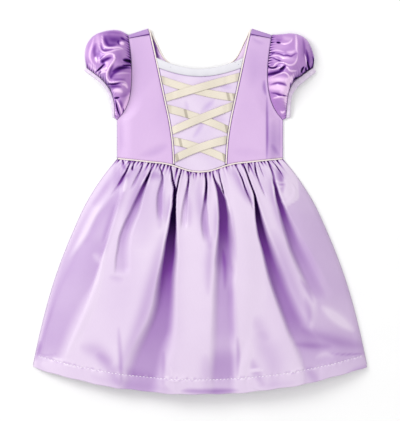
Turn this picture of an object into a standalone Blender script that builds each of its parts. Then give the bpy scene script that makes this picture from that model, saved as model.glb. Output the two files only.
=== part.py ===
"""A child's princess costume dress of satin, laid flat on its back with its front facing up.

The frame: X runs across the dress, Y from hem to shoulders, Z up from the surface it lies on.
Sizes are in millimetres and MM turns them into metres when a mesh is made.
"""

import math
from collections import namedtuple

import bpy
import numpy as np

MM = 0.001

# Walls and clearances
GAP = 0.3
BODICE_WALL = 1.3
BAND_WALL = 1.8
SKIRT_WALL = 1.1
SLEEVE_WALL = 1.2
RIBBON_WALL = 0.9
CUFF_WALL = 1.5

# Overall size: the dress measures DRESS_TOP minus HEM_CENTRE_Y from shoulder tip to hem
DRESS_TOP = 301.0
HEM_CENTRE_Y = -301.0
HEM_SIDE_Y = -258.0
WAIST_HALF_WIDTH = 137.0

# Piping cords
PIPING_RADIUS = 1.5
NECK_PIPING_RADIUS = 1.2
SEAM_HALF = PIPING_RADIUS + GAP
PIPING_PROUD = 0.4
PRINCESS_STEPS = 20
WAIST_STEPS = 37

# Bodice: the front lies over the back, closest at the side seams
FRONT_LOW = BODICE_WALL + GAP
FRONT_HIGH = 6.6
SIDE_RISE = 26.0
UNDERARM_Y = 150.0
UNDERARM_BLEND = 60.0
SHOULDER_BLEND_FROM = 230.0
SHOULDER_BLEND = 70.0
SHOULDER_DROP = 0.5
SHOULDER_OUTER_Y = 290.5
ARMHOLE_STEPS = 12
SIDE_STEPS = 4
STRIP_AT_NECK = 10.0
STRIP_AT_ARM = 6.0
BACK_WAIST_CENTRE_Y = 80.0
BACK_NECK_Y = 226.0
BACK_CENTRE_STEPS = 6
SHOULDER_TURNS = 4
SIDE_FRONT_COLUMNS = 7
BACK_COLUMNS = 6
CENTRE_ROWS, CENTRE_COLUMNS = 11, 13
BAND_ROWS, BAND_COLUMNS = 3, 15

# Neck edge of the centre front: height in the middle and how far its ends rise
PANEL_TOP_Y = 221.0
PANEL_TOP_RISE = 14.0
BAND_TOP_Y = 234.0
BAND_TOP_RISE = 18.5
NECK_CURVE_POWER = 2.0

# Lacing ribbons
RIBBON_WIDTH = 12.7
RIBBON_SEAM_CLEAR = 2.2
CROSSING_HALF = 37.0
CROSSING_RAMP = 9.0
RIBBON_COLUMNS = 17

# Skirt
FRONT_GATHERS = 36
GATHER_HEIGHT = 0.9
GATHER_AT_SEAM = 0.5
GATHER_FULL_BY = 0.03
GATHER_SIDE_FADE = 0.05
GATHERS_END = 0.16
SKIRT_ROWS = 17
SKIRT_ROW_POWER = 1.7
BACK_SKIRT_ROWS, BACK_SKIRT_COLUMNS = 9, 25
SKIRT_EDGE_Z = BODICE_WALL + GAP + SKIRT_WALL
FOLD_FLOOR_Z = 10.5
FOLD_FLOOR_REACH = 0.15
FOLD_NARROW_AT_WAIST = 0.7
FOLD_WIDENING = 0.6
FOLD_MID = 0.45
WAIST_LEVEL_REACH = 0.1
CROWN_POWER = 3.0
CROWN_ROUND = 0.6
BACK_HEM_SHORTER = 4.0

# Sleeves
PUFF_HEIGHT = 30.0
PUFF_STEEPNESS = 0.6
PUFF_ROUND = 0.8
CAP_LIFT_POWER = 1.6
SLEEVE_EDGE_ROUND = 0.5
SLEEVE_EDGE_Z = 3.4
SLEEVE_OVER_BODICE = 1.5
CUFF_HEIGHT = 9.5
SLEEVE_FRONT_STEPS = 24
SLEEVE_UNDER_STEPS = 10
SLEEVE_ROWS = 9
SLEEVE_GATHER_HEIGHT = 0.8
SLEEVE_GATHERS_END = 0.22
SLEEVE_SEAM_GAP = 0.5

Point = namedtuple("Point", "x y")
Width = namedtuple("Width", "down half_width")
Height = namedtuple("Height", "down height")
Ribbon = namedtuple("Ribbon", "name high_side top bottom bow over")
Fold = namedtuple("Fold", "name waist mid hem starts deepest ends depth left right hem_share")
Crease = namedtuple("Crease", "name across_arm across_cuff depth width")

# Half of the dress's outlines, in plan: x from its centre line

PRINCESS_SEAM = [Point(43, 76), Point(46, 118), Point(51, 150), Point(58.5, 185), Point(66, 220),
                 Point(72.5, 250), Point(84, DRESS_TOP)]
WAIST_SEAM = [Point(0, 63.5), Point(16, 65.3), Point(30, 69.3), Point(42, 73.6), Point(54, 76.8),
              Point(82, 80.2), Point(WAIST_HALF_WIDTH, 86)]
ARMHOLE = [Point(137, UNDERARM_Y), Point(126, 163), Point(118, 179), Point(113.5, 197),
           Point(111.5, 218), Point(112, 240), Point(114.5, 264), Point(118.5, SHOULDER_OUTER_Y)]
BACK_NECKLINE = [Point(0, BACK_NECK_Y), Point(30, 231), Point(58, 248), Point(75, 279),
                 Point(85.8, DRESS_TOP)]

# The top outline of each sleeve from shoulder to cuff, the seam of its cuff binding from there to
# the underarm, and the binding's outer edge. Side -1 is the left of the picture and 1 the right.
SLEEVE_CAP = {
    -1: [Point(119, 290.5), Point(132, 297.5), Point(146.5, 298.5), Point(161.5, 295.5),
         Point(172, 291.5), Point(182, 283), Point(188.5, 271), Point(190.5, 256), Point(188, 237)],
    1: [Point(119, 290.5), Point(134, 291.5), Point(151, 293), Point(163, 291), Point(175, 284),
        Point(184.5, 268), Point(189, 251), Point(187.5, 237)],
}
CUFF_SEAM = {
    -1: [Point(188, 237), Point(179, 230), Point(162, 216.5), Point(148.5, 199), Point(142, 180),
         Point(140.6, 153)],
    1: [Point(187.5, 237), Point(168, 223), Point(153.5, 211), Point(146, 194), Point(143.5, 177),
        Point(142, 152.5)],
}
CUFF_EDGE = {
    -1: [Point(191.9, 231.5), Point(183.5, 225.5), Point(166.7, 212.5), Point(153.3, 196),
         Point(146.8, 179), Point(145.2, 154)],
    1: [Point(192, 229.5), Point(173.7, 214.7), Point(159.5, 202), Point(152, 189), Point(149.8, 175),
        Point(149, 153.5)],
}
SKIRT_SIDE = [Width(0, WAIST_HALF_WIDTH), Width(0.065, 155), Width(0.18, 181.5), Width(0.373, 213),
              Width(0.603, 242.5), Width(0.834, 264), Width(1, 276.4)]
SKIRT_CROWN = [Height(0, 0), Height(0.03, 6), Height(0.08, 14), Height(0.2, 24), Height(0.45, 30),
               Height(0.75, 30), Height(1, 26)]

# Each lacing ribbon: the side where it starts high, its heights at the two seams, how far its
# middle bows upwards, and whether it crosses over or under.
LACING = [
    Ribbon("top_under", -1, 215.3, 186, -4, 0), Ribbon("top_over", 1, 220, 184, 1, 1),
    Ribbon("middle_under", -1, 167.5, 131, 3, 0), Ribbon("middle_over", 1, 171.5, 129.5, 1, 1),
    Ribbon("low_under", -1, 114.7, 84.5, 3.5, 0), Ribbon("low_over", 1, 116.5, 84.5, 3.5, 1),
]

# Skirt folds: where each runs, as a share of the half width, at waist, middle and hem; where it
# starts, is deepest and ends, as a share of the way down; its depth, below zero for a ridge; the
# reach of its two flanks; and the share of its depth left at the hem.
SKIRT_FOLDS = [
    Fold("side_left", -0.80, -0.89, -0.92, -0.02, 0.12, 0.42, 7, 9, 10, 0.0),
    Fold("crest_left", -0.72, -0.72, -0.84, 0.08, 0.45, 1.20, -9, 16, 42, 0.6),
    Fold("short_left", -0.54, -0.63, -0.56, -0.04, 0.09, 0.48, 13, 9, 9, 0.0),
    Fold("second_left", -0.42, -0.33, -0.33, -0.04, 0.15, 0.34, 5, 7, 7, 0.0),
    Fold("fork_left", -0.34, -0.25, -0.25, -0.04, 0.04, 0.12, 6, 5, 5, 0.0),
    Fold("deep_left", -0.225, -0.235, -0.34, -0.04, 0.20, 0.90, 20, 10, 8, 0.20),
    Fold("near_left", -0.14, -0.10, -0.10, -0.04, 0.10, 0.30, 6, 7, 7, 0.0),
    Fold("centre", 0.07, 0.045, 0.05, -0.04, 0.10, 0.36, 8, 7, 8, 0.0),
    Fold("deep_right", 0.18, 0.175, 0.12, -0.04, 0.22, 0.60, 20, 7, 14, 0.15),
    Fold("narrow_right", 0.43, 0.47, 0.47, -0.02, 0.07, 0.19, 7, 6, 6, 0.0),
    Fold("long_right", 0.53, 0.515, 0.655, -0.04, 0.18, 0.95, 19, 7, 18, 0.35),
    Fold("short_right", 0.62, 0.60, 0.60, -0.04, 0.06, 0.15, 6, 6, 6, 0.0),
    Fold("outer_right", 0.75, 0.72, 0.86, -0.02, 0.20, 0.66, 12, 8, 18, 0.10),
    Fold("side_right", 0.88, 0.87, 0.87, -0.02, 0.05, 0.14, 5, 6, 6, 0.0),
]

# Sleeve creases: where each meets the armhole and the cuff, as a share of the way from
# shoulder to underarm; its depth and the reach of its flanks as a share of that way.
SLEEVE_CREASES = {
    -1: [Crease("cap", 0.30, 0.12, 6, 0.06), Crease("middle", 0.52, 0.40, 7, 0.06),
         Crease("low", 0.72, 0.70, 4, 0.05)],
    1: [Crease("cap", 0.28, 0.30, 5, 0.05), Crease("middle", 0.46, 0.52, 7, 0.06),
        Crease("low", 0.68, 0.74, 4, 0.05)],
}


def linear(hex_colour):
    """The linear colour of an sRGB hex value."""
    channels = [int(hex_colour[i:i + 2], 16) / 255 for i in (0, 2, 4)]
    return [c / 12.92 if c <= 0.04045 else ((c + 0.055) / 1.055) ** 2.4 for c in channels] + [1.0]


def material(name, hex_colour, roughness, metallic=0.0):
    """A Principled material."""
    made = bpy.data.materials.new(name)
    made.use_nodes = True
    shader = made.node_tree.nodes["Principled BSDF"]
    shader.inputs["Base Color"].default_value = linear(hex_colour)
    shader.inputs["Roughness"].default_value = roughness
    shader.inputs["Metallic"].default_value = metallic
    return made


def smooth(t):
    """0 before 0, 1 after 1, and an even S between them."""
    t = np.clip(t, 0, 1)
    return t * t * (3 - 2 * t)


def through(places, values, at):
    """A smooth curve through values at rising places, read at other places."""
    places, values = np.asarray(places, float), np.asarray(values, float)
    at = np.clip(np.asarray(at, float), places[0], places[-1])
    i = np.clip(np.searchsorted(places, at, side="right") - 1, 0, len(places) - 2)
    span = places[i + 1] - places[i]
    t = (at - places[i]) / span
    slope = np.gradient(values, places)
    return ((1 + 2 * t) * (1 - t) ** 2 * values[i] + t * (1 - t) ** 2 * span * slope[i]
            + t * t * (3 - 2 * t) * values[i + 1] + t * t * (t - 1) * span * slope[i + 1])


def along(points, share):
    """The points at these shares of the way along a smooth outline, by its own length."""
    x, y = (np.array(c, float) for c in zip(*points))
    lengths = np.concatenate([[0], np.cumsum(np.hypot(np.diff(x), np.diff(y)))])
    at = np.asarray(share) * lengths[-1]
    return np.stack([through(lengths, x, at), through(lengths, y, at)], axis=-1)


def straight(points, share):
    """The points at these shares of the way along a line of straight pieces."""
    lengths = np.concatenate([[0], np.cumsum(np.linalg.norm(np.diff(points, axis=0), axis=1))])
    at = np.asarray(share) * lengths[-1]
    return np.stack([np.interp(at, lengths, points[:, 0]), np.interp(at, lengths, points[:, 1])], axis=-1)


def armhole():
    """The armhole from underarm to shoulder, as every piece that meets there follows it."""
    return along(ARMHOLE, np.linspace(0, 1, ARMHOLE_STEPS + 1))


def arm_point(y):
    """The point of the armhole line at a height."""
    arm = armhole()
    return np.array([np.interp(y, arm[:, 1], arm[:, 0]), y])


def seam_x(y):
    """Half the distance between the two princess seams at a height."""
    return through([p.y for p in PRINCESS_SEAM], [p.x for p in PRINCESS_SEAM], y)


def waist_y(x):
    """Height of the front waist seam."""
    return through([p.x for p in WAIST_SEAM], [p.y for p in WAIST_SEAM], np.abs(x))


def bodice_half_width(y):
    """Half the width of the bodice: its side seam, then its armhole."""
    return through([p.y for p in ARMHOLE], [p.x for p in ARMHOLE], y)


def front_under(x, y):
    """Height of the underside of the front bodice over the surface."""
    inward = smooth((bodice_half_width(y) - np.abs(x)) / SIDE_RISE)
    beside = 1 - smooth((y - UNDERARM_Y) / UNDERARM_BLEND)
    shoulder = 1 - SHOULDER_DROP * smooth((y - SHOULDER_BLEND_FROM) / SHOULDER_BLEND)
    return FRONT_LOW + (FRONT_HIGH - FRONT_LOW) * (1 - beside * (1 - inward)) * shoulder


def front_top(x, y):
    """Height of the upper face of the front bodice."""
    return front_under(x, y) + BODICE_WALL


def skirt_half_width(down):
    """Half the width of the skirt at a share of the way down."""
    return through([w.down for w in SKIRT_SIDE], [w.half_width for w in SKIRT_SIDE], down)


def hem_y(across):
    """Height of the hem: an arc, lowest in the middle."""
    return HEM_CENTRE_Y + (HEM_SIDE_Y - HEM_CENTRE_Y) * across ** 2


def fold_depth(fold, across, down):
    """Depth of one skirt fold at each point."""
    centre = through([0, FOLD_MID, 1], [fold.waist, fold.mid, fold.hem], down)
    aside = (across - centre) * skirt_half_width(down)
    reach = np.where(aside < 0, fold.left, fold.right) * (FOLD_NARROW_AT_WAIST + FOLD_WIDENING * down)
    rise = smooth((down - fold.starts) / (fold.deepest - fold.starts))
    fall = 1 - smooth((down - fold.deepest) / (fold.ends - fold.deepest))
    return fold.depth * rise * (fold.hem_share + (1 - fold.hem_share) * fall) * np.exp(-(aside / reach) ** 2)


def skirt_points(across, down):
    """Points of the front skirt's outer face."""
    top = waist_y(across * WAIST_HALF_WIDTH) - SEAM_HALF
    x = across * skirt_half_width(down)
    y = top + (hem_y(across) - top) * down
    waist_z = front_top(across * WAIST_HALF_WIDTH, waist_y(across * WAIST_HALF_WIDTH))
    crown = through([h.down for h in SKIRT_CROWN], [h.height for h in SKIRT_CROWN], down)
    edge = (1 - np.abs(across) ** CROWN_POWER) ** CROWN_ROUND
    from_waist = edge + (1 - edge) * (1 - smooth(down / WAIST_LEVEL_REACH))
    z = SKIRT_EDGE_Z + (waist_z - SKIRT_EDGE_Z) * from_waist + crown * edge
    folds = sum(fold_depth(fold, across, down) for fold in SKIRT_FOLDS)
    floor = waist_z + (FOLD_FLOOR_Z - waist_z) * smooth(down / FOLD_FLOOR_REACH)
    z = np.maximum(z - folds * edge, np.minimum(z, floor))
    return x, y, z


def mesh_object(name, points, faces, look):
    """A named object from points in millimetres."""
    mesh = bpy.data.meshes.new(name)
    mesh.from_pydata([tuple(p * MM) for p in points], [], faces)
    mesh.materials.append(look)
    mesh.shade_smooth()
    made = bpy.data.objects.new(name, mesh)
    dress.objects.link(made)
    return made


def shell(name, points, wall, look, outside=None):
    """A cloth wall below the outer face that a grid of points gives, in rows and columns.

    outside is the way that the face looks. Without it each row is a closed ring that looks outwards.
    """
    rows, columns = points.shape[:2]
    ring = outside is None
    steps = columns if ring else columns - 1
    faces = [(r * columns + c, r * columns + (c + 1) % columns,
              (r + 1) * columns + (c + 1) % columns, (r + 1) * columns + c)
             for r in range(rows - 1) for c in range(steps)]
    flat = points.reshape(-1, 3)
    a, b, c, d = (flat[[f[i] for f in faces]] for i in range(4))
    normals = np.cross(c - a, d - b)
    away = (a + c) / 2 - flat.mean(axis=0) if ring else np.array(outside, float)
    if (normals * away).sum() < 0:
        faces = [f[::-1] for f in faces]
    made = mesh_object(name, flat, faces, look)
    thicken = made.modifiers.new("wall", "SOLIDIFY")
    thicken.thickness = wall * MM
    thicken.offset = -1
    return made


def tube(name, points, radius, look):
    """A round cord along a line of points."""
    curve = bpy.data.curves.new(name, "CURVE")
    curve.dimensions = "3D"
    curve.bevel_depth = radius * MM
    curve.bevel_resolution = 1
    curve.use_fill_caps = True
    spline = curve.splines.new("POLY")
    spline.points.add(len(points) - 1)
    for place, point in zip(spline.points, points):
        place.co = (*(point * MM), 1)
    curve.materials.append(look)
    made = bpy.data.objects.new(name, curve)
    dress.objects.link(made)


def between(inner, outer, columns):
    """A grid in plan between two lines of points."""
    share = np.linspace(0, 1, columns)[None, :, None]
    return inner[:, None, :] * (1 - share) + outer[:, None, :] * share


def seated(plan, waist):
    """A plan whose first row is drawn onto a waist line, and its other rows less and less."""
    share = np.linspace(1, 0, len(plan))[:, None] ** 2
    plan[..., 1] += (waist(plan[0, :, 0]) - plan[0, :, 1]) * share
    return plan


def back_waist_y(x):
    """Height of the back waist seam."""
    side_y = waist_y(WAIST_HALF_WIDTH)
    return BACK_WAIST_CENTRE_Y + (side_y - BACK_WAIST_CENTRE_Y) * (x / WAIST_HALF_WIDTH) ** 2


def side_front(name, side, look):
    """The front panel beside a princess seam, from waist to shoulder seam."""
    arm = armhole()
    arm[-1] = arm_point(SHOULDER_OUTER_Y - STRIP_AT_ARM - GAP)
    below = np.linspace(waist_y(WAIST_HALF_WIDTH) + SEAM_HALF, UNDERARM_Y, SIDE_STEPS + 1)[:-1]
    outer = np.concatenate([np.stack([np.full(SIDE_STEPS, WAIST_HALF_WIDTH), below], axis=-1), arm])
    inner_top = DRESS_TOP - STRIP_AT_NECK - GAP
    inner_y = np.linspace(waist_y(PRINCESS_SEAM[0].x) + SEAM_HALF, inner_top, len(outer))
    inner = np.stack([seam_x(inner_y) + SEAM_HALF, inner_y], axis=-1)
    plan = seated(between(inner, outer, SIDE_FRONT_COLUMNS), lambda x: waist_y(x) + SEAM_HALF)
    points = np.concatenate([plan, front_top(plan[..., 0], plan[..., 1])[..., None]], axis=-1)
    shell(name, points * (side, 1, 1), BODICE_WALL, look, (0, 0, 1))


def centre_grid(low, high, rows, columns):
    """Plan points between the princess seams, from one height curve to another."""
    across = np.linspace(-1, 1, columns)[None, :]
    up = np.linspace(0, 1, rows)[:, None]
    y = low(across) * (1 - up) + high(across) * up
    return across * (seam_x(y) - SEAM_HALF), y


def centre_front(look, band_look):
    """The laced centre panel and the white band along its neck edge."""
    def bottom(across):
        return waist_y(across * PRINCESS_SEAM[0].x) + SEAM_HALF

    def panel_top(across):
        return PANEL_TOP_Y + PANEL_TOP_RISE * np.abs(across) ** NECK_CURVE_POWER

    def band_top(across):
        return BAND_TOP_Y + BAND_TOP_RISE * np.abs(across) ** NECK_CURVE_POWER

    x, y = centre_grid(bottom, panel_top, CENTRE_ROWS, CENTRE_COLUMNS)
    shell("centre_front", np.stack([x, y, front_top(x, y)], axis=-1), BODICE_WALL, look, (0, 0, 1))
    x, y = centre_grid(lambda s: panel_top(s) + GAP, band_top, BAND_ROWS, BAND_COLUMNS)
    band_z = front_under(x, y) + BAND_WALL
    shell("neck_band", np.stack([x, y, band_z], axis=-1), BAND_WALL, band_look, (0, 0, 1))


def back_neck_line():
    """The back neckline from the centre to just below the fold of the shoulder."""
    rows = ARMHOLE_STEPS + 1 + SIDE_STEPS - BACK_CENTRE_STEPS
    line = along(BACK_NECKLINE, np.linspace(0, 1, rows + 1))[1:]
    line[-1] -= 0, shoulder_radius()
    return line


def shoulder_radius():
    """Radius of the fold over the shoulder."""
    return front_top(BACK_NECKLINE[-1].x, DRESS_TOP) / 2


def back_bodice(name, side, look):
    """Half of the back, flat on the surface, whose shoulder folds over to the front."""
    radius = shoulder_radius()
    centre_y = np.linspace(BACK_WAIST_CENTRE_Y, BACK_NECK_Y, BACK_CENTRE_STEPS)
    inner = np.concatenate([np.stack([np.full(BACK_CENTRE_STEPS, GAP / 2), centre_y], axis=-1),
                            back_neck_line()])
    side_y = np.linspace(waist_y(WAIST_HALF_WIDTH), UNDERARM_Y, SIDE_STEPS + 1)[:-1]
    arm = armhole()
    arm[-1] = arm_point(SHOULDER_OUTER_Y - radius)
    outer = np.concatenate([np.stack([np.full(SIDE_STEPS, WAIST_HALF_WIDTH), side_y], axis=-1), arm])
    slab = seated(between(inner, outer, BACK_COLUMNS), back_waist_y)
    slab = np.concatenate([slab, np.zeros((*slab.shape[:2], 1))], axis=-1)
    turns = np.pi * np.arange(1, SHOULDER_TURNS + 1) / SHOULDER_TURNS
    fold = np.stack([slab[-1] + (0, radius * math.sin(a), radius * (1 - math.cos(a))) for a in turns])
    strip_y = DRESS_TOP - STRIP_AT_NECK
    strip = between(np.array([[seam_x(strip_y) + SEAM_HALF, strip_y]]),
                    arm_point(SHOULDER_OUTER_Y - STRIP_AT_ARM)[None], BACK_COLUMNS)
    strip = np.concatenate([strip, front_top(strip[..., 0], strip[..., 1])[..., None]], axis=-1)
    shell(name, np.concatenate([slab, fold, strip]) * (side, 1, 1), BODICE_WALL, look, (0, 0, -1))


def piping(look):
    """The cords in the princess seams, the waist seam and the back neckline."""
    low = waist_y(PRINCESS_SEAM[0].x) + 2 * SEAM_HALF
    for name, side in (("princess_piping_left", -1), ("princess_piping_right", 1)):
        y = np.linspace(low, DRESS_TOP - PIPING_RADIUS, PRINCESS_STEPS)
        x = seam_x(y)
        z = front_under(x, y) + BODICE_WALL / 2 + PIPING_PROUD
        tube(name, np.stack([side * x, y, z], axis=-1), PIPING_RADIUS, look)
    x = np.linspace(-1, 1, WAIST_STEPS) * (WAIST_HALF_WIDTH - PIPING_RADIUS)
    y = waist_y(x)
    z = np.maximum(front_under(x, y) + BODICE_WALL / 2 + PIPING_PROUD, BODICE_WALL + GAP + PIPING_RADIUS)
    tube("waist_piping", np.stack([x, y, z], axis=-1), PIPING_RADIUS, look)
    line = np.concatenate([[BACK_NECKLINE[0]], back_neck_line()])
    step = np.gradient(line, axis=0)
    inwards = np.stack([-step[:, 1], step[:, 0]], axis=-1) / np.linalg.norm(step, axis=1)[:, None]
    right = line + inwards * (NECK_PIPING_RADIUS + GAP)
    right[0, 0] = 0
    plan = np.concatenate([(right * (-1, 1))[:0:-1], right])
    z = np.full((len(plan), 1), NECK_PIPING_RADIUS)
    tube("back_neck_piping", np.concatenate([plan, z], axis=-1), NECK_PIPING_RADIUS, look)


def ribbon(row, look):
    """One lacing ribbon, from seam to seam, bent up over the one it crosses."""
    edges = np.array([-1, 0, 1]) * RIBBON_WIDTH / 2
    reach = seam_x((row.top + row.bottom) / 2)
    slope = row.high_side * (row.top - row.bottom) / 2 / reach
    middle = (row.top + row.bottom) / 2

    def height(x):
        return middle + slope * x + row.bow * (1 - (x / reach) ** 2) + edges * math.hypot(1, slope)

    def end(way):
        x = np.full(len(edges), way * reach)
        for _ in range(8):
            x = way * (seam_x(height(x)) - RIBBON_SEAM_CLEAR)
        return x

    share = np.linspace(0, 1, RIBBON_COLUMNS)[:, None]
    x = end(-1) * (1 - share) + end(1) * share
    y = height(x)
    lift = 1 - smooth((np.abs(x) - CROSSING_HALF) / CROSSING_RAMP)
    z = front_top(x, y) + GAP + RIBBON_WALL + row.over * lift * (RIBBON_WALL + GAP)
    shell(f"ribbon_{row.name}", np.stack([x, y, z], axis=-1), RIBBON_WALL, look, (0, 0, 1))


def front_skirt(look):
    """The gathered front skirt, with a column on the crest and in the trough of each gather."""
    across = np.linspace(-1, 1, 2 * FRONT_GATHERS + 1)[None, :]
    down = np.linspace(0, 1, SKIRT_ROWS)[:, None] ** SKIRT_ROW_POWER
    across, down = np.broadcast_arrays(across, down)
    x, y, z = skirt_points(across, down)
    crest = np.where(np.arange(across.shape[1]) % 2, 1, -1)[None, :]
    held = np.minimum(GATHER_AT_SEAM + down / GATHER_FULL_BY, 1) * (1 - smooth(down / GATHERS_END))
    z = z + GATHER_HEIGHT * crest * held * smooth((1 - np.abs(across)) / GATHER_SIDE_FADE)
    shell("front_skirt", np.stack([x, y, z], axis=-1), SKIRT_WALL, look, (0, 0, 1))


def back_skirt(look):
    """The back skirt, flat on the surface."""
    across = np.linspace(-1, 1, BACK_SKIRT_COLUMNS)[None, :]
    down = np.linspace(0, 1, BACK_SKIRT_ROWS)[:, None]
    top = back_waist_y(across * WAIST_HALF_WIDTH) - GAP
    x = across * skirt_half_width(down)
    y = top + (hem_y(across) + BACK_HEM_SHORTER - top) * down
    shell("back_skirt", np.stack([x, y, 0 * x], axis=-1), BODICE_WALL, look, (0, 0, -1))


def ring_columns():
    """Columns of a flattened tube: share of the way across, and whether on the front.

    The front runs from the top outline to the underarm and the underside comes back.
    """
    u = np.linspace(0, 1, SLEEVE_FRONT_STEPS + 1)
    front = u / 2 + (1 - np.cos(np.pi * u)) / 4
    under = np.linspace(1, 0, SLEEVE_UNDER_STEPS + 1)
    return np.concatenate([front, under]), np.arange(len(front) + len(under)) < len(front)


def puff_height(side, across, down, length):
    """How far a sleeve's front stands up over its gathered ends."""
    high = np.minimum(PUFF_HEIGHT, PUFF_STEEPNESS * length) * (4 * down * (1 - down)) ** PUFF_ROUND
    for crease in SLEEVE_CREASES[side]:
        centre = crease.across_arm * (1 - down) + crease.across_cuff * down
        dip = np.exp(-((across - centre) / crease.width) ** 2)
        high = high - crease.depth * math.sin(math.pi * down) * dip
    return high


def sleeve(word, side, look, cuff_look):
    """A puff sleeve gathered into the armhole and into its cuff, and the cuff's binding."""
    across, on_front = ring_columns()
    round_off = np.sin(np.pi * across) ** SLEEVE_EDGE_ROUND
    arm = straight(armhole()[::-1], across) + (SLEEVE_SEAM_GAP, 0)
    seam = along(CUFF_SEAM[side], across)
    edge = along(CUFF_EDGE[side], across)
    length = np.linalg.norm(seam - arm, axis=1)
    crest = np.where(np.arange(len(across)) % 2, 1, -1) * on_front * round_off ** 4
    arm_z = front_top(arm[:, 0], arm[:, 1]) + SLEEVE_OVER_BODICE
    downs = (1 - np.cos(np.linspace(0, np.pi, SLEEVE_ROWS))) / 2
    cap = along(SLEEVE_CAP[side], downs)
    rows = []
    for down, top in zip(downs, cap):
        lift = (top - (arm[0] * (1 - down) + seam[0] * down)) * ((1 - across) ** CAP_LIFT_POWER)[:, None]
        plan = arm * (1 - down) + seam * down + lift
        high = arm_z * (1 - down) + CUFF_HEIGHT * down + puff_height(side, across, down, length)
        gathers = 1 - smooth(min(down, 1 - down) / SLEEVE_GATHERS_END)
        front = SLEEVE_EDGE_Z + (high - SLEEVE_EDGE_Z) * round_off + SLEEVE_GATHER_HEIGHT * crest * gathers
        rows.append(np.column_stack([plan, np.where(on_front, front, 0)]))
    shell(f"sleeve_{word}", np.stack(rows) * (side, 1, 1), SLEEVE_WALL, look)
    step = edge - seam
    start = seam + step * (GAP / np.linalg.norm(step, axis=1))[:, None]
    z = np.where(on_front, SLEEVE_EDGE_Z + (CUFF_HEIGHT - SLEEVE_EDGE_Z) * round_off, 0)
    band = np.stack([np.column_stack([start * (1 - t) + edge * t, z]) for t in (0, 0.5, 1)])
    shell(f"cuff_binding_{word}", band * (side, 1, 1), CUFF_WALL, cuff_look)


def build():
    """Makes every piece of the dress."""
    satin = material("lavender_satin", "D9BEE6", 0.45)
    skirt_satin = material("pale_lavender_satin", "E2CEEE", 0.4)
    panel_satin = material("lilac_satin", "E8D9F0", 0.45)
    sleeve_satin = material("deep_lavender_satin", "B98AD2", 0.3)
    band_cloth = material("white_band_cloth", "EEEEF2", 0.6)
    gold = material("pale_gold_ribbon", "E6DBC4", 0.4)
    gold_cord = material("gold_piping_cord", "F0DCC8", 0.35)
    binding = material("pale_cuff_binding", "E6DAEC", 0.6)
    for word, side in (("left", -1), ("right", 1)):
        back_bodice(f"back_bodice_{word}", side, satin)
        side_front(f"side_front_{word}", side, satin)
        sleeve(word, side, sleeve_satin, binding)
    centre_front(panel_satin, band_cloth)
    piping(gold_cord)
    for row in LACING:
        ribbon(row, gold)
    front_skirt(skirt_satin)
    back_skirt(skirt_satin)


for old in list(bpy.data.objects):
    bpy.data.objects.remove(old)
dress = bpy.data.collections.new("princess_costume_dress")
bpy.context.scene.collection.children.link(dress)
build()
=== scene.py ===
import logging
import math
from dataclasses import dataclass, field
from enum import Enum

import bpy
import numpy as np
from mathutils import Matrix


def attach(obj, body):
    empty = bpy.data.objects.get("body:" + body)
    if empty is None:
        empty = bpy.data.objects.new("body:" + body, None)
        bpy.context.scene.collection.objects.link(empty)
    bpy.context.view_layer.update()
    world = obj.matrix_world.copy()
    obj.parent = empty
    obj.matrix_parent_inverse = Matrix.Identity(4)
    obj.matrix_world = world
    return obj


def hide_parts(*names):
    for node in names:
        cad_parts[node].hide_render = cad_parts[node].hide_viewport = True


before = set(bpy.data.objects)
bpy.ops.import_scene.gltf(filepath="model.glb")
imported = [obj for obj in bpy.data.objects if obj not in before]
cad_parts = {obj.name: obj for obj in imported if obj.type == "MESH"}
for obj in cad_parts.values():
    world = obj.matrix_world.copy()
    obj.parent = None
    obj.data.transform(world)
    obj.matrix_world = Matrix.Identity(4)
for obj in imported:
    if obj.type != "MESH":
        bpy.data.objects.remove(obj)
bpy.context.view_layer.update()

log = logging.getLogger("dress")
MM = 0.001
# The painted shade of open cloth, and where satin's five tones stand on the way from a painted crest
# highlight to painted fold shade.
PLAIN = 0.25
TONE_PLACES = (0.0, PLAIN, 0.42, 0.65, 1.0)
Grid = np.ndarray
Socket = bpy.types.NodeSocket
Material = bpy.types.Material
Object = bpy.types.Object
Pair = tuple[float, float]
Path = tuple[Pair, ...]


class Side(Enum):
    """Which half of the dress a piece is on, as the picture shows it."""

    LEFT = -1
    RIGHT = 1

    @property
    def word(self) -> str:
        """The side's name in a piece's name."""
        return self.name.lower()


def smooth(t: Grid) -> Grid:
    """An even S: 0 before t = 0, 1 after t = 1, and 3t^2 - 2t^3 between them."""
    t = np.clip(t, 0, 1)
    return t * t * (3 - 2 * t)


def hill(distance: Grid, reach: Grid) -> Grid:
    """A round hill: e to the minus square of distance over reach."""
    return np.exp(-(distance / reach) ** 2)


def through(places: Grid, values: Grid, at: Grid) -> Grid:
    """Reads a smooth curve that passes through values at rising places.

    The curve is the cubic Hermite of each stretch, with the slopes of central differences.

    Args:
        places: Where the values stand, rising.
        values: The value at each place.
        at: Where to read the curve.

    Returns:
        The curve's value at each reading place.
    """
    places, values = np.asarray(places, float), np.asarray(values, float)
    at = np.clip(np.asarray(at, float), places[0], places[-1])
    i = np.clip(np.searchsorted(places, at, side="right") - 1, 0, len(places) - 2)
    span = places[i + 1] - places[i]
    t = (at - places[i]) / span
    slope = np.gradient(values, places)
    return ((1 + 2 * t) * (1 - t) ** 2 * values[i] + t * (1 - t) ** 2 * span * slope[i]
            + t * t * (3 - 2 * t) * values[i + 1] + t * t * (t - 1) * span * slope[i + 1])


def run_of(points: Grid) -> Grid:
    """How far along a line each of its points is."""
    return np.concatenate([[0], np.cumsum(np.linalg.norm(np.diff(points, axis=0), axis=1))])


def xyz(x: Grid, y: Grid, z: Grid) -> Grid:
    """Points from their three places."""
    return np.stack([x, y, z], axis=-1)


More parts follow.
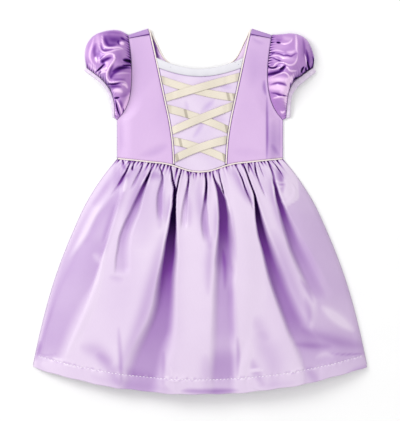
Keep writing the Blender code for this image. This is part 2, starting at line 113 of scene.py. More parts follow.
def along(points: Path, share: Grid) -> Grid:
    """Points at these shares of the way along a smooth outline, by its own length."""
    points = np.asarray(points, float)
    lengths = run_of(points)
    at = np.asarray(share) * lengths[-1]
    return np.stack([through(lengths, points[:, k], at) for k in range(points.shape[1])], axis=-1)


def straight(points: Grid, share: Grid) -> Grid:
    """Points at these shares of the way along a line of straight pieces."""
    lengths = run_of(points)
    at = np.asarray(share) * lengths[-1]
    return np.stack([np.interp(at, lengths, points[:, k]) for k in range(points.shape[1])], axis=-1)


def between(inner: Grid, outer: Grid, share: Grid) -> Grid:
    """A grid between two lines of points: inner times one minus share, plus outer times share."""
    share = np.asarray(share)[None, :, None]
    return inner[:, None, :] * (1 - share) + outer[:, None, :] * share


def uneven(index: Grid, salt: float) -> Grid:
    """An even spread of values from 0 to 1 that looks random: the fraction of a large sine."""
    return np.mod(np.sin(index * 12.9898 + salt * 78.233) * 43758.5453, 1.0)


def linear(hex_colour: str) -> tuple[float, float, float, float]:
    """The linear colour of an sRGB hex value, with full alpha."""
    channels = [int(hex_colour[i:i + 2], 16) / 255 for i in (1, 3, 5)]
    red, green, blue = (c / 12.92 if c <= 0.04045 else ((c + 0.055) / 1.055) ** 2.4 for c in channels)
    return red, green, blue, 1.0


class Recipe:
    """A node tree under construction, with a short method for each kind of node that the cloths use."""

    def __init__(self, tree: bpy.types.NodeTree) -> None:
        """Keeps the tree."""
        self.tree = tree

    def node(self, kind: str, values: dict | None = None, links: dict | None = None,
             **settings: object) -> bpy.types.Node:
        """Adds one node.

        Args:
            kind: The node's type, without the words that all types begin with.
            values: Socket name or number to value.
            links: Socket name or number to the output that feeds it.
            settings: The node's own properties.

        Returns:
            The node.
        """
        node = self.tree.nodes.new("ShaderNode" + kind)
        for name, value in settings.items():
            setattr(node, name, value)
        for socket, value in (values or {}).items():
            node.inputs[socket].default_value = value
        for socket, source in (links or {}).items():
            self.tree.links.new(source, node.inputs[socket])
        return node

    def noise(self, place: Socket, per_metre: float, detail: float = 2.0, roughness: float = 0.5) -> Socket:
        """Noise from 0 to 1 with so many features in a metre."""
        values = {"Scale": per_metre, "Detail": detail, "Roughness": roughness}
        return self.node("TexNoise", values, {"Vector": place}).outputs["Fac"]

    def bands(self, cloth: Socket, apart_mm: float, bent: float) -> Socket:
        """Bands across the cloth, so far apart: the wave runs through 20 radians in one unit."""
        values = {"Scale": 2 * math.pi / 20 / (apart_mm * MM), "Distortion": bent, "Detail": 2.0}
        return self.node("TexWave", values, {"Vector": cloth}, bands_direction="X").outputs["Fac"]

    def times(self, first: Socket, second: Socket) -> Socket:
        """The product of two values."""
        return self.node("Math", links={0: first, 1: second}, operation="MULTIPLY").outputs[0]

    def plus_some(self, start: Socket, share: float, added: Socket) -> Socket:
        """A value plus a share of another."""
        return self.node("Math", {1: share}, {0: added, 2: start}, operation="MULTIPLY_ADD").outputs[0]

    def spread(self, value: Socket, low: float, high: float, reads: Pair = (0.0, 1.0)) -> Socket:
        """Carries a value from the range that it reads over to low and high."""
        values = {"From Min": reads[0], "From Max": reads[1], "To Min": low, "To Max": high}
        return self.node("MapRange", values, {"Value": value}).outputs[0]

    def blend(self, share: Socket, first: str, second: str) -> Socket:
        """The first colour, going over to the second as share goes from 0 to 1."""
        mix = self.node("Mix", links={0: share}, data_type="RGBA")
        mix.inputs[6].default_value = linear(first)
        mix.inputs[7].default_value = linear(second)
        return mix.outputs[2]

    def bump(self, height: Socket, relief_mm: float, strength: float = 1.0,
             over: Socket | None = None) -> Socket:
        """A relief so deep, on top of another one where there is one."""
        links = {"Height": height} if over is None else {"Height": height, "Normal": over}
        return self.node("Bump", {"Strength": strength, "Distance": relief_mm * MM}, links).outputs[0]


class Surface(Recipe):
    """A material under construction: its tree, its shader and what it reads from the piece."""

    def __init__(self, name: str) -> None:
        """Starts the material."""
        self.made = bpy.data.materials.new(name)
        self.made.use_nodes = True
        super().__init__(self.made.node_tree)
        self.shader = self.tree.nodes["Principled BSDF"]
        self.place = self.node("TexCoord").outputs["Object"]

    def piece(self) -> tuple[Socket, Socket]:
        """The place on the flat cloth, in metres, and the attribute shade."""
        return (self.node("UVMap", uv_map="cloth").outputs["UV"],
                self.node("Attribute", attribute_name="shade").outputs["Fac"])

    def finish(self, links: dict, **values: float) -> Material:
        """Feeds the shader and gives the material back.

        Args:
            links: Shader socket to the output that feeds it.
            values: Shader socket, with underscores for spaces, to its value.

        Returns:
            The material.
        """
        for socket, source in links.items():
            self.tree.links.new(source, self.shader.inputs[socket])
        for socket, value in values.items():
            self.shader.inputs[socket.replace("_", " ")].default_value = value
        return self.made


@dataclass(frozen=True)
class Satin:
    """Polyester satin, woven with long floats on its face.

    The floats give it a broad soft gloss. Its five tones are a painted highlight for a crest, the open
    cloth's own colour, and painted shade for a slope, a trough and the bottom of a fold, where cloth
    faces cloth and the gloss and the sheen are turned down as well.
    """

    name: str
    # Painted crest highlight, the cloth's own colour, then painted shade for a slope, a trough and a fold's
    # bottom.
    tones: tuple[str, str, str, str, str]
    rough: Pair = (0.38, 0.5)
    sheen: float = 0.25
    gloss: float = 0.5
    metal: float = 0.0
    cloud: float = 0.1
    wrinkle_mm: float = 0.25
    # Real floats lie 0.25 mm apart. They are drawn 2.17 mm apart, or none would show in the render.
    float_mm: float = 2.17
    float_bend: float = 1.5
    float_relief_mm: float = 0.05
    float_tones: Pair = (0.965, 1.03)
    # Slubs are about 1 mm wide and 17 mm long.
    slubs_per_metre: tuple[float, float, float] = (900.0, 60.0, 1.0)
    clouds_per_metre: float = 14.0
    wrinkles_per_metre: float = 70.0
    sheen_roughness: float = 0.35
    sheen_tint: str = "#F2E4FA"
    # The gloss and the sheen fade to this share of themselves by this painted shade.
    faded: float = 0.04
    faded_at: float = 0.6

    def build(self) -> Material:
        """Makes the material.

        Returns:
            The material, whose colour runs through its tones, from painted highlight to painted shade, as the
            attribute shade goes from 0 to 1.
        """
        cloth = Surface(self.name)
        flat, shade = cloth.piece()
        clouds = cloth.noise(cloth.place, self.clouds_per_metre, 3.0)
        drift = cloth.node("Math", {1: 0.5}, {0: clouds}, operation="SUBTRACT").outputs[0]
        # The ramp paints light and shade: from the crest highlight to the fold's shade, by the attribute
        # shade.
        ramp = cloth.node("ValToRGB", links={"Fac": cloth.plus_some(shade, self.cloud, drift)})
        stops = ramp.color_ramp.elements
        for place_in_ramp in TONE_PLACES[1:-1]:
            stops.new(place_in_ramp)
        for stop, tone in zip(stops, self.tones):
            stop.color = linear(tone)
        slubs = cloth.node("Mapping", {"Scale": self.slubs_per_metre}, {"Vector": flat}).outputs[0]
        threads = cloth.times(cloth.bands(flat, self.float_mm, self.float_bend), cloth.noise(slubs, 1.0))
        coloured = cloth.node("VectorMath", operation="MULTIPLY", links={
            0: ramp.outputs["Color"], 1: cloth.spread(threads, *self.float_tones)})
        wrinkles = cloth.noise(cloth.place, self.wrinkles_per_metre, roughness=0.4)
        creased_face = cloth.bump(wrinkles, self.wrinkle_mm)
        fading = {socket: cloth.spread(shade, most, self.faded * most, (PLAIN, self.faded_at))
                  for socket, most in (("Specular IOR Level", self.gloss), ("Sheen Weight", self.sheen))}
        cloth.shader.inputs["Sheen Tint"].default_value = linear(self.sheen_tint)
        return cloth.finish({
            "Base Color": coloured.outputs[0],
            "Roughness": cloth.spread(clouds, *self.rough),
            "Normal": cloth.bump(threads, self.float_relief_mm, 0.5, creased_face),
            **fading,
        }, Metallic=self.metal, Sheen_Roughness=self.sheen_roughness)


@dataclass(frozen=True)
class WovenTrim:
    """A narrow woven trim, such as ribbon, binding or band: ribbed across its length.

    The ribs give it a fine grain. Its edges and its pinched places are a little darker: painted shade where
    the trim turns down or dips.
    """

    name: str
    # Its own colour, and the dark colour that its painted shade goes towards.
    light: str
    dark: str
    roughness: float = 0.5
    metal: float = 0.0
    # Real ribs lie 0.3 to 0.6 mm apart. They are drawn coarser, or none would show in the render.
    rib_mm: float = 2.565
    rib_bend: float = 0.8
    relief_mm: float = 0.08
    grain: float = 0.14
    mottles_per_metre: float = 120.0
    sheen: float = 0.15

    def build(self) -> Material:
        """Makes the material, going to its dark colour, as painted shade, where the attribute shade is high.

        Returns:
            The material.
        """
        cloth = Surface(self.name)
        flat, shade = cloth.piece()
        mottle = cloth.noise(cloth.place, self.mottles_per_metre, 4.0)
        grain = cloth.times(cloth.bands(flat, self.rib_mm, self.rib_bend), mottle)
        return cloth.finish({
            "Base Color": cloth.blend(cloth.plus_some(shade, self.grain, grain), self.light, self.dark),
            "Roughness": cloth.spread(mottle, self.roughness - 0.06, self.roughness + 0.1),
            "Normal": cloth.bump(grain, self.relief_mm, 0.8),
        }, Metallic=self.metal, Sheen_Weight=self.sheen)


@dataclass(frozen=True)
class PaperSweep:
    """White background paper, matte and a little mottled, which gives the plain studio floor."""

    name: str = "matte_background_paper"
    light: str = "#F9F9F9"
    dark: str = "#F4F4F4"
    mottles_per_metre: float = 9.0

    def build(self) -> Material:
        """Makes the material."""
        paper = Surface(self.name)
        mottle = paper.noise(paper.place, self.mottles_per_metre)
        return paper.finish({"Base Color": paper.blend(mottle, self.light, self.dark)},
                            Roughness=0.9, Specular_IOR_Level=0.1)


@dataclass(frozen=True)
class Finishes:
    """Every finish of the dress, built once."""

    # Each satin's tones run from a painted crest highlight, through the cloth's own colour, to painted shade
    # in slopes, troughs and folds; each trim's dark colour is its painted shade.
    bodice: Material = field(default_factory=Satin(
        "lavender_satin_woven", ("#EED5F3", "#D2B1DC", "#B491C8", "#8250A4", "#2C0A48")).build)
    panel: Material = field(default_factory=Satin(
        "pale_lilac_satin_woven", ("#F3E8F7", "#DCCBE3", "#C4ACD8", "#8F6CB3", "#3C1860")).build)
    skirt: Material = field(default_factory=Satin(
        "pale_lavender_satin_woven", ("#F7ECF8", "#DFCDE5", "#BC9FCC", "#7F469F", "#1E0040"),
        cloud=0.05).build)
    sleeve: Material = field(default_factory=Satin(
        "deep_lavender_satin_woven", ("#F6D0F8", "#B786CB", "#8F5CAC", "#582481", "#0E0024"),
        rough=(0.24, 0.34), sheen=0.15, gloss=0.7, metal=0.1, wrinkle_mm=0.3).build)
    ribbon: Material = field(default_factory=WovenTrim(
        "pale_gold_ribbon_woven", "#F9F0DF", "#857A69", metal=0.05).build)
    piping: Material = field(default_factory=WovenTrim(
        "pale_gold_piping_twisted", "#FFF8F2", "#C0A69C", roughness=0.35, metal=0.05, rib_mm=3.157,
        relief_mm=0.25).build)
    band: Material = field(default_factory=WovenTrim(
        "white_cotton_band_woven", "#F2F2F5", "#A8A4B4", roughness=0.7, rib_mm=1.973).build)
    cuff: Material = field(default_factory=WovenTrim(
        "pale_cotton_binding_woven", "#F4E6F5", "#A78FBE", roughness=0.7, rib_mm=1.973).build)
    thread: Material = field(default_factory=WovenTrim(
        "lavender_thread_spun", "#FFFAFF", "#C9B6DA", roughness=0.45, rib_mm=1.184, relief_mm=0.05).build)
    knot: Material = field(default_factory=WovenTrim(
        "grey_thread_spun", "#8C879C", "#3A3548", roughness=0.6, rib_mm=1.184, relief_mm=0.05).build)


@dataclass(frozen=True)
class Cut:
    """The dress's own sizes in millimetres, and the lines and levels that its pieces share.

    X runs across the dress, Y from hem to shoulders and Z up from the floor.
    """

    gap: float = 0.3
    bodice_wall: float = 1.3
    top: float = 301.0
    hem_centre: float = -301.0
    hem_side: float = -258.0
    waist_half: float = 137.0
    seam_half: float = 1.4
    piping_radius: float = 1.2
    neck_piping_radius: float = 1.2
    front_high: float = 6.6
    side_rise: float = 26.0
    underarm: float = 150.0
    shoulder_outer: float = 290.5
    strip_at_neck: float = 10.0
    strip_at_arm: float = 6.0
    back_neck_low: float = 226.0
    back_waist: float = 80.0
    princess: Path = ((43, 76), (46, 118), (51, 150), (58.5, 185), (66, 220), (72.5, 250), (84, 301))
    waist: Path = ((0, 63.5), (16, 65.3), (30, 69.3), (42, 73.6), (54, 76.8), (82, 80.2), (137, 86))
    armhole: Path = ((137, 150), (126, 163), (118, 179), (113.5, 197), (111.5, 218), (112, 240),
                     (114.5, 264), (118.5, 290.5))
    back_neck: Path = ((0, 226), (30, 231), (58, 248), (75, 279), (85.8, 301))
    skirt_side: Path = ((0, 137), (0.065, 155), (0.18, 181.5), (0.373, 213), (0.603, 242.5),
                        (0.834, 264), (1, 276.4))
    # The left armhole lies a little further out round its middle height.
    drawn_out: float = 1.5
    drawn_out_at: float = 222.0
    drawn_out_reach: float = 32.0
    # The front lies low beside the side seam, up to this far above the underarm, and at the shoulder.
    low_side_rise: float = 60.0
    shoulder_from: float = 230.0
    shoulder_rise: float = 70.0
    shoulder_low: float = 0.5
    skirt_crown: Path = ((0, 0), (0.03, 6), (0.08, 14), (0.2, 24), (0.45, 30), (0.75, 30), (1, 26))

    def seam_x(self, y: Grid) -> Grid:
        """Half the distance between the princess seams at a height."""
        x, places = zip(*self.princess)
        return through(places, x, y)

    def waist_y(self, x: Grid) -> Grid:
        """Height of the front waist seam."""
        places, y = zip(*self.waist)
        return through(places, y, np.abs(x))

    def armhole_line(self) -> Grid:
        """The armhole from underarm to shoulder, in the straight pieces that the solids have."""
        return along(self.armhole, np.linspace(0, 1, 13))

    def arm_x(self, y: Grid) -> Grid:
        """The armhole line's distance from the centre at a height."""
        line = self.armhole_line()
        return np.interp(y, line[:, 1], line[:, 0])

    def set_in(self, side: Side, line: Grid) -> Grid:
        """The armhole line as it lies: the middle of the left one is drawn a little outwards."""
        most = self.drawn_out if side is Side.LEFT else 0
        drawn = most * hill(line[:, 1] - self.drawn_out_at, self.drawn_out_reach)
        return line + np.stack([drawn, 0 * drawn], axis=-1)

    def front_under(self, x: Grid, y: Grid) -> Grid:
        """Height of the front bodice's underside: closest to the back along the side seams."""
        half = through([p[1] for p in self.armhole], [p[0] for p in self.armhole], y)
        inward = smooth((half - np.abs(x)) / self.side_rise)
        beside = 1 - smooth((y - self.underarm) / self.low_side_rise)
        shoulder = 1 - self.shoulder_low * smooth((y - self.shoulder_from) / self.shoulder_rise)
        low = self.bodice_wall + self.gap
        return low + (self.front_high - low) * (1 - beside * (1 - inward)) * shoulder

    def front_top(self, x: Grid, y: Grid) -> Grid:
        """Height of the front bodice's face."""
        return self.front_under(x, y) + self.bodice_wall

    def skirt_half(self, down: Grid) -> Grid:
        """Half the skirt's width at a share of the way down."""
        places, half = zip(*self.skirt_side)
        return through(places, half, down)

    def hem_y(self, across: Grid) -> Grid:
        """Height of the hem: an arc, lowest in the middle."""
        return self.hem_centre + (self.hem_side - self.hem_centre) * across ** 2

    def back_waist_y(self, x: Grid) -> Grid:
        """Height of the back waist seam."""
        rise = self.waist_y(self.waist_half) - self.back_waist
        return self.back_waist + rise * (x / self.waist_half) ** 2


CUT = Cut()


def signed_distance(path: Path, x: Grid, y: Grid) -> tuple[Grid, Grid]:
    """Distance from a smooth path, above zero at its left, and the share of the way along it.

    Args:
        path: A few points that the smooth path passes through.
        x: Plan x of the points to measure.
        y: Plan y of those points.

    Returns:
        The signed distance of each point, and how far along the path its nearest place is, from 0 to 1.
    """
    line = along(path, np.linspace(0, 1, 25))
    nearest = np.full(x.shape, 1e9)
    signed, share = np.zeros(x.shape), np.zeros(x.shape)
    for i, (start, step) in enumerate(zip(line[:-1], np.diff(line, axis=0))):
        t = np.clip(((x - start[0]) * step[0] + (y - start[1]) * step[1]) / (step @ step), 0, 1)
        dx, dy = x - start[0] - t * step[0], y - start[1] - t * step[1]
        distance = np.hypot(dx, dy)
        side = np.sign(step[0] * dy - step[1] * dx)
        closer = distance < nearest
        nearest = np.where(closer, distance, nearest)
        signed = np.where(closer, side * distance, signed)
        share = np.where(closer, (i + t) / (len(line) - 1), share)
    return signed, share


@dataclass(frozen=True)
class Crease:
    """A curved crease along a path: a ridge, or a trough where its height is below zero.

    left and right are its reach on each side, and shade is the painted shade that it adds, or a painted
    highlight below zero.
    """

    path: Path
    height: float = 0.0
    left: float = 2.0
    right: float = 2.0
    shade: float = 0.0

    def relief(self, x: Grid, y: Grid) -> tuple[Grid, Grid]:
        """Height and painted shade that the crease adds.

        Both are a round hill over the signed distance from the path. The hill's size and its reach
        follow the sine of the way along the path, so that the crease tapers out at both ends.
        """
        aside, share = signed_distance(self.path, x, y)
        taper = np.sin(np.pi * share) ** 0.6
        reach = np.where(aside > 0, self.left, self.right) * (0.35 + 0.65 * taper)
        across = hill(aside, reach) * taper
        return self.height * across, self.shade * across


def creases_of(*rows: tuple) -> tuple[Crease, ...]:
    """Creases from rows of path, height, left and right or one reach for both, and shade."""
    return tuple(Crease(path, height, reach[0], reach[-1], shade) for path, height, *reach, shade in rows)


def creased(creases: tuple[Crease, ...], x: Grid, y: Grid) -> tuple[Grid, Grid]:
    """Height and shade of several creases together."""
    reliefs = [crease.relief(x, y) for crease in creases]
    return sum(height for height, _ in reliefs), sum(shade for _, shade in reliefs)


@dataclass(frozen=True)
class Fold:
    """A long fold of the skirt, given by stations down its left lip.

    Each station is x, y, the width of the drop at the left, of the bottom and of the rise at the right,
    the depth, and how dark the painted shade at the bottom is.
    """

    name: str
    stations: tuple[tuple[float, ...], ...]
    # The rolled lip beside a steep side: its height, width and place, and the painted highlight on it.
    roll_high: float = 0.8
    roll_wide: float = 1.5
    roll_aside: float = 1.4
    roll_highlight: float = 0.16
    # A side this wide or less rolls up fully.
    steep: float = 2.0
    # Soft painted shade beside the fold: its extra reach, the most of the fold's shade it takes, and its
    # share.
    soft_wide: float = 6.0
    soft_dark: float = 0.3
    soft_share: float = 0.2

    def relief(self, x: Grid, y: Grid) -> tuple[Grid, Grid]:
        """Height and painted shade that the fold adds.

        Across, the depth is an even S down over the drop, flat over the bottom and an S up over the
        rise, and the painted shade follows it, with a soft painted shade beside the bottom. Cloth beside
        a steep side rolls up a little, and gets a painted highlight there.
        """
        table = np.array(self.stations, float)
        lip_x, drop, bottom, rise, depth, dark = (
            through(-table[:, 1], table[:, column], -y) for column in (0, 2, 3, 4, 5, 6))
        drop, bottom, rise = np.maximum(drop, 0.5), np.maximum(bottom, 0.2), np.maximum(rise, 0.5)
        depth, dark = np.maximum(depth, 0), np.maximum(dark, 0)
        aside = x - lip_x
        right_x = drop + bottom + rise
        across = smooth(aside / drop) * smooth((right_x - aside) / rise)
        held = smooth(depth / 10) * smooth((dark - 0.25) / 0.35)
        left_roll = hill(aside + self.roll_aside, self.roll_wide) * np.minimum(1, self.steep / drop)
        right_roll = (hill(aside - right_x - self.roll_aside, self.roll_wide)
                      * np.minimum(1, self.steep / rise))
        rolls = (left_roll + right_roll) * held
        beside = (self.soft_share * np.minimum(dark, self.soft_dark)
                  * hill(aside - drop - bottom, rise + self.soft_wide))
        shade = np.maximum(dark * across ** 1.2, beside) - self.roll_highlight * rolls
        return self.roll_high * rolls - depth * across, shade


def place_object(name: str, data: bpy.types.ID) -> Object:
    """Puts an object with this data into the scene."""
    made = bpy.data.objects.new(name, data)
    bpy.context.scene.collection.objects.link(made)
    return made


def corners_of(grid: Grid) -> Grid:
    """The values at the four corners of each cell of a grid, in order round the cell."""
    return np.stack([grid[:-1, :-1], grid[:-1, 1:], grid[1:, 1:], grid[1:, :-1]], axis=2)


def flat_map(points: Grid) -> Grid:
    """The place of each point on the flat cloth, in metres: lengths along the rows and the columns."""
    u, v = (np.cumsum(np.linalg.norm(np.diff(points, axis=axis), axis=2), axis=axis) for axis in (1, 0))
    return np.stack([np.pad(u, ((0, 0), (1, 0))), np.pad(v, ((1, 0), (0, 0)))], axis=-1) * MM


def quad_mesh(name: str, flat: Grid, quads: Grid, corners: Grid, shade: Grid) -> bpy.types.Mesh:
    """Makes a mesh of quads, with its place on the flat cloth and its shade.

    Args:
        name: The mesh's name.
        flat: Its points in millimetres.
        quads: Four point numbers for each face.
        corners: The place on the flat cloth of each face's corners, in metres.
        shade: The painted shade of each point, from 0 to 1.

    Returns:
        The mesh.
    """
    mesh = bpy.data.meshes.new(name)
    mesh.vertices.add(len(flat))
    mesh.vertices.foreach_set("co", (flat * MM).astype(np.float32).ravel())
    mesh.loops.add(quads.size)
    mesh.loops.foreach_set("vertex_index", quads.astype(np.int32).ravel())
    mesh.polygons.add(len(quads))
    mesh.polygons.foreach_set("loop_start", np.arange(0, quads.size, 4, dtype=np.int32))
    mesh.uv_layers.new(name="cloth").data.foreach_set("uv", corners.astype(np.float32).ravel())
    mesh.attributes.new("shade", "FLOAT", "POINT").data.foreach_set("value", shade.astype(np.float32))
    mesh.update(calc_edges=True)
    mesh.validate()
    mesh.shade_smooth()
    return mesh


def cloth_object(name: str, points: Grid, finish: Material, shade: Grid | None = None,
                 ring: bool = False, faces_up: bool = True, wall: float = 0.8) -> Object:
    """Makes a thin cloth shell whose outer face is a grid of points.

    Args:
        name: The piece's name.
        points: The grid, rows by columns by x, y, z in millimetres.
        finish: Its material.
        shade: The painted shade of each point over open cloth, or a painted highlight below zero.
        ring: Whether the last column joins the first.
        faces_up: Whether an open grid's outer face looks up. A ring's looks away from its middle.
        wall: The cloth's thickness, which lies inside the outer face.

    Returns:
        The object, with its place in its mesh.
    """
    rows, columns = points.shape[:2]
    index = np.arange(rows * columns).reshape(rows, columns)
    wrapped = points
    if ring:
        index = np.concatenate([index, index[:, :1]], axis=1)
        wrapped = np.concatenate([points, points[:, :1]], axis=1)
    quads = corners_of(index).reshape(-1, 4)
    flat = points.reshape(-1, 3)
    a, b, c, d = (flat[quads[:, k]] for k in range(4))
    away = (a + c) / 2 - flat.mean(axis=0) if ring else np.array([0, 0, 1.0 if faces_up else -1.0])
    turned = (np.cross(c - a, d - b) * away).sum() < 0
    corners = corners_of(flat_map(wrapped)).reshape(-1, 4, 2)
    if turned:
        quads, corners = quads[:, ::-1], corners[:, ::-1]
    kept = np.full(len(flat), PLAIN) if shade is None else np.clip(PLAIN + shade, 0, 1).ravel()
    mesh = quad_mesh(name, flat, quads, corners, kept)
    mesh.materials.append(finish)
    made = place_object(name, mesh)
    if wall:
        shell = made.modifiers.new("wall", "SOLIDIFY")
        shell.thickness = wall * MM
        shell.offset = -1
    return made


def cord_object(name: str, line: Grid, radius: float, finish: Material,
                sides: int = 12, ends_taper: float = 0.6) -> Object:
    """Makes a round cord along a line, closed at its ends.

    Each ring is the line's point plus the radius times cosine along the level normal and sine along Z.

    Args:
        name: The piece's name.
        line: Points by x, y, z in millimetres.
        radius: The cord's radius.
        finish: Its material.
        sides: Points round each ring.
        ends_taper: Radius of the first and last ring, as a share.

    Returns:
        The cord's object.
    """
    step = np.gradient(line, axis=0)
    level = xyz(-step[:, 1], step[:, 0], 0 * step[:, 0])
    level /= np.linalg.norm(level, axis=1)[:, None]
    up = np.cross(level, step)
    up /= np.linalg.norm(up, axis=1)[:, None] * -1
    turn = np.linspace(0, 2 * np.pi, sides, endpoint=False)
    size = np.full(len(line), radius)
    size[[0, -1]] *= ends_taper
    rings = (line[:, None] + size[:, None, None] * (np.cos(turn)[None, :, None] * level[:, None]
                                                    + np.sin(turn)[None, :, None] * up[:, None]))
    caps = [np.repeat(p[None, None], sides, axis=1) for p in (line[0], line[-1])]
    points = np.concatenate([caps[0], rings, caps[1]])
    made = cloth_object(name, points, finish, ring=True, wall=0)
    weld = made.modifiers.new("close_ends", "WELD")
    weld.merge_threshold = 0.00001
    return made


@dataclass
class Stitching:
    """A row of stitches: each is a short thread that rises from the cloth and goes back into it."""

    name: str
    line: Grid
    finish: Material
    length: float = 3.0
    space: float = 1.6
    thick: float = 0.5
    rise: float = 0.35
    sides: int = 6
    places: int = 7

    def middles(self, arch: Grid, t: Grid) -> tuple[Grid, Grid]:
        """The middle line of each stitch, which rises as the arch does, and its level normal."""
        lengths = run_of(self.line)
        count = max(1, int(lengths[-1] / (self.length + self.space)))
        starts = (np.arange(count) + 0.5) * lengths[-1] / count - self.length / 2
        at = starts[:, None] + t[None, :] * self.length
        middle = np.stack([np.interp(at, lengths, self.line[:, k]) for k in range(3)], axis=-1)
        step = middle[:, -1:] - middle[:, :1]
        step /= np.linalg.norm(step, axis=2, keepdims=True)
        middle[..., 2] += self.rise * (arch - 0.5)[None, :]
        return middle, xyz(-step[..., 1], step[..., 0], 0 * step[..., 0])

    def faces(self, count: int) -> list[list[int]]:
        """The faces of all stitches: the sides and the two ends of each."""
        one = np.arange(self.places * self.sides).reshape(self.places, self.sides)
        wrapped = np.concatenate([one, one[:, :1]], axis=1)
        quads = np.stack([wrapped[:-1, :-1], wrapped[1:, :-1], wrapped[1:, 1:], wrapped[:-1, 1:]], axis=-1)
        shift = (np.arange(count) * one.size)[:, None, None]
        ends = np.stack([one[0], one[-1, ::-1]])
        return ((quads.reshape(1, -1, 4) + shift).reshape(-1, 4).tolist()
                + (ends[None] + shift).reshape(-1, self.sides).tolist())

    def build(self) -> Object:
        """Makes the row as one mesh.

        A stitch is a ring of points carried along a few places, with the radius and the height going
        as the sine of the way along, so that both ends close under the cloth's face.

        Returns:
            The object.
        """
        t = np.linspace(0, 1, self.places)
        arch = np.sin(np.pi * np.clip(t, 0.04, 0.96))
        middle, level = self.middles(arch, t)
        turn = np.linspace(0, 2 * np.pi, self.sides, endpoint=False)[None, None, :, None]
        radius = (self.thick / 2 * arch ** 0.5)[None, :, None, None]
        round_it = np.cos(turn) * level[:, :, None] + np.sin(turn) * np.array([0, 0, 1.0])
        rings = middle[:, :, None] + radius * round_it
        mesh = bpy.data.meshes.new(self.name)
        mesh.from_pydata((rings.reshape(-1, 3) * MM).tolist(), [], self.faces(len(middle)))
        mesh.uv_layers.new(name="cloth")
        mesh.attributes.new("shade", "FLOAT", "POINT")
        mesh.materials.append(self.finish)
        mesh.shade_smooth()
        return place_object(self.name, mesh)


def pinches(run: Grid, pitch: float, wide: Grid, ridge_wide: Grid,
            shift: Grid | float = 0.0) -> tuple[Grid, Grid]:
    """A narrow valley at each step of the pitch along a seam, and the ridge half way between two."""
    beside = (run / pitch - np.round(run / pitch) - shift) * pitch
    return hill(beside, wide), hill(np.abs(beside) - pitch / 2, ridge_wide)


@dataclass(frozen=True)
class GatherRow:
    """One row of gathers under the waist: how they stand, how long and deep they are, and how dark their
    painted shade is.
    """

    pitch: float
    salt: int
    shortest: float
    longer: float
    dip: float
    dark: float
    wide: float


def sew_in(piece: Object, slot: str, *nodes: str) -> Object:
    """Fastens a piece to the dress: it rides on it and stands for CAD nodes, which it hides."""
    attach(piece, "root")
    if nodes:
        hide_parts(*nodes)
    log.info("%s: %d points", piece.name, len(piece.data.vertices))
    return piece
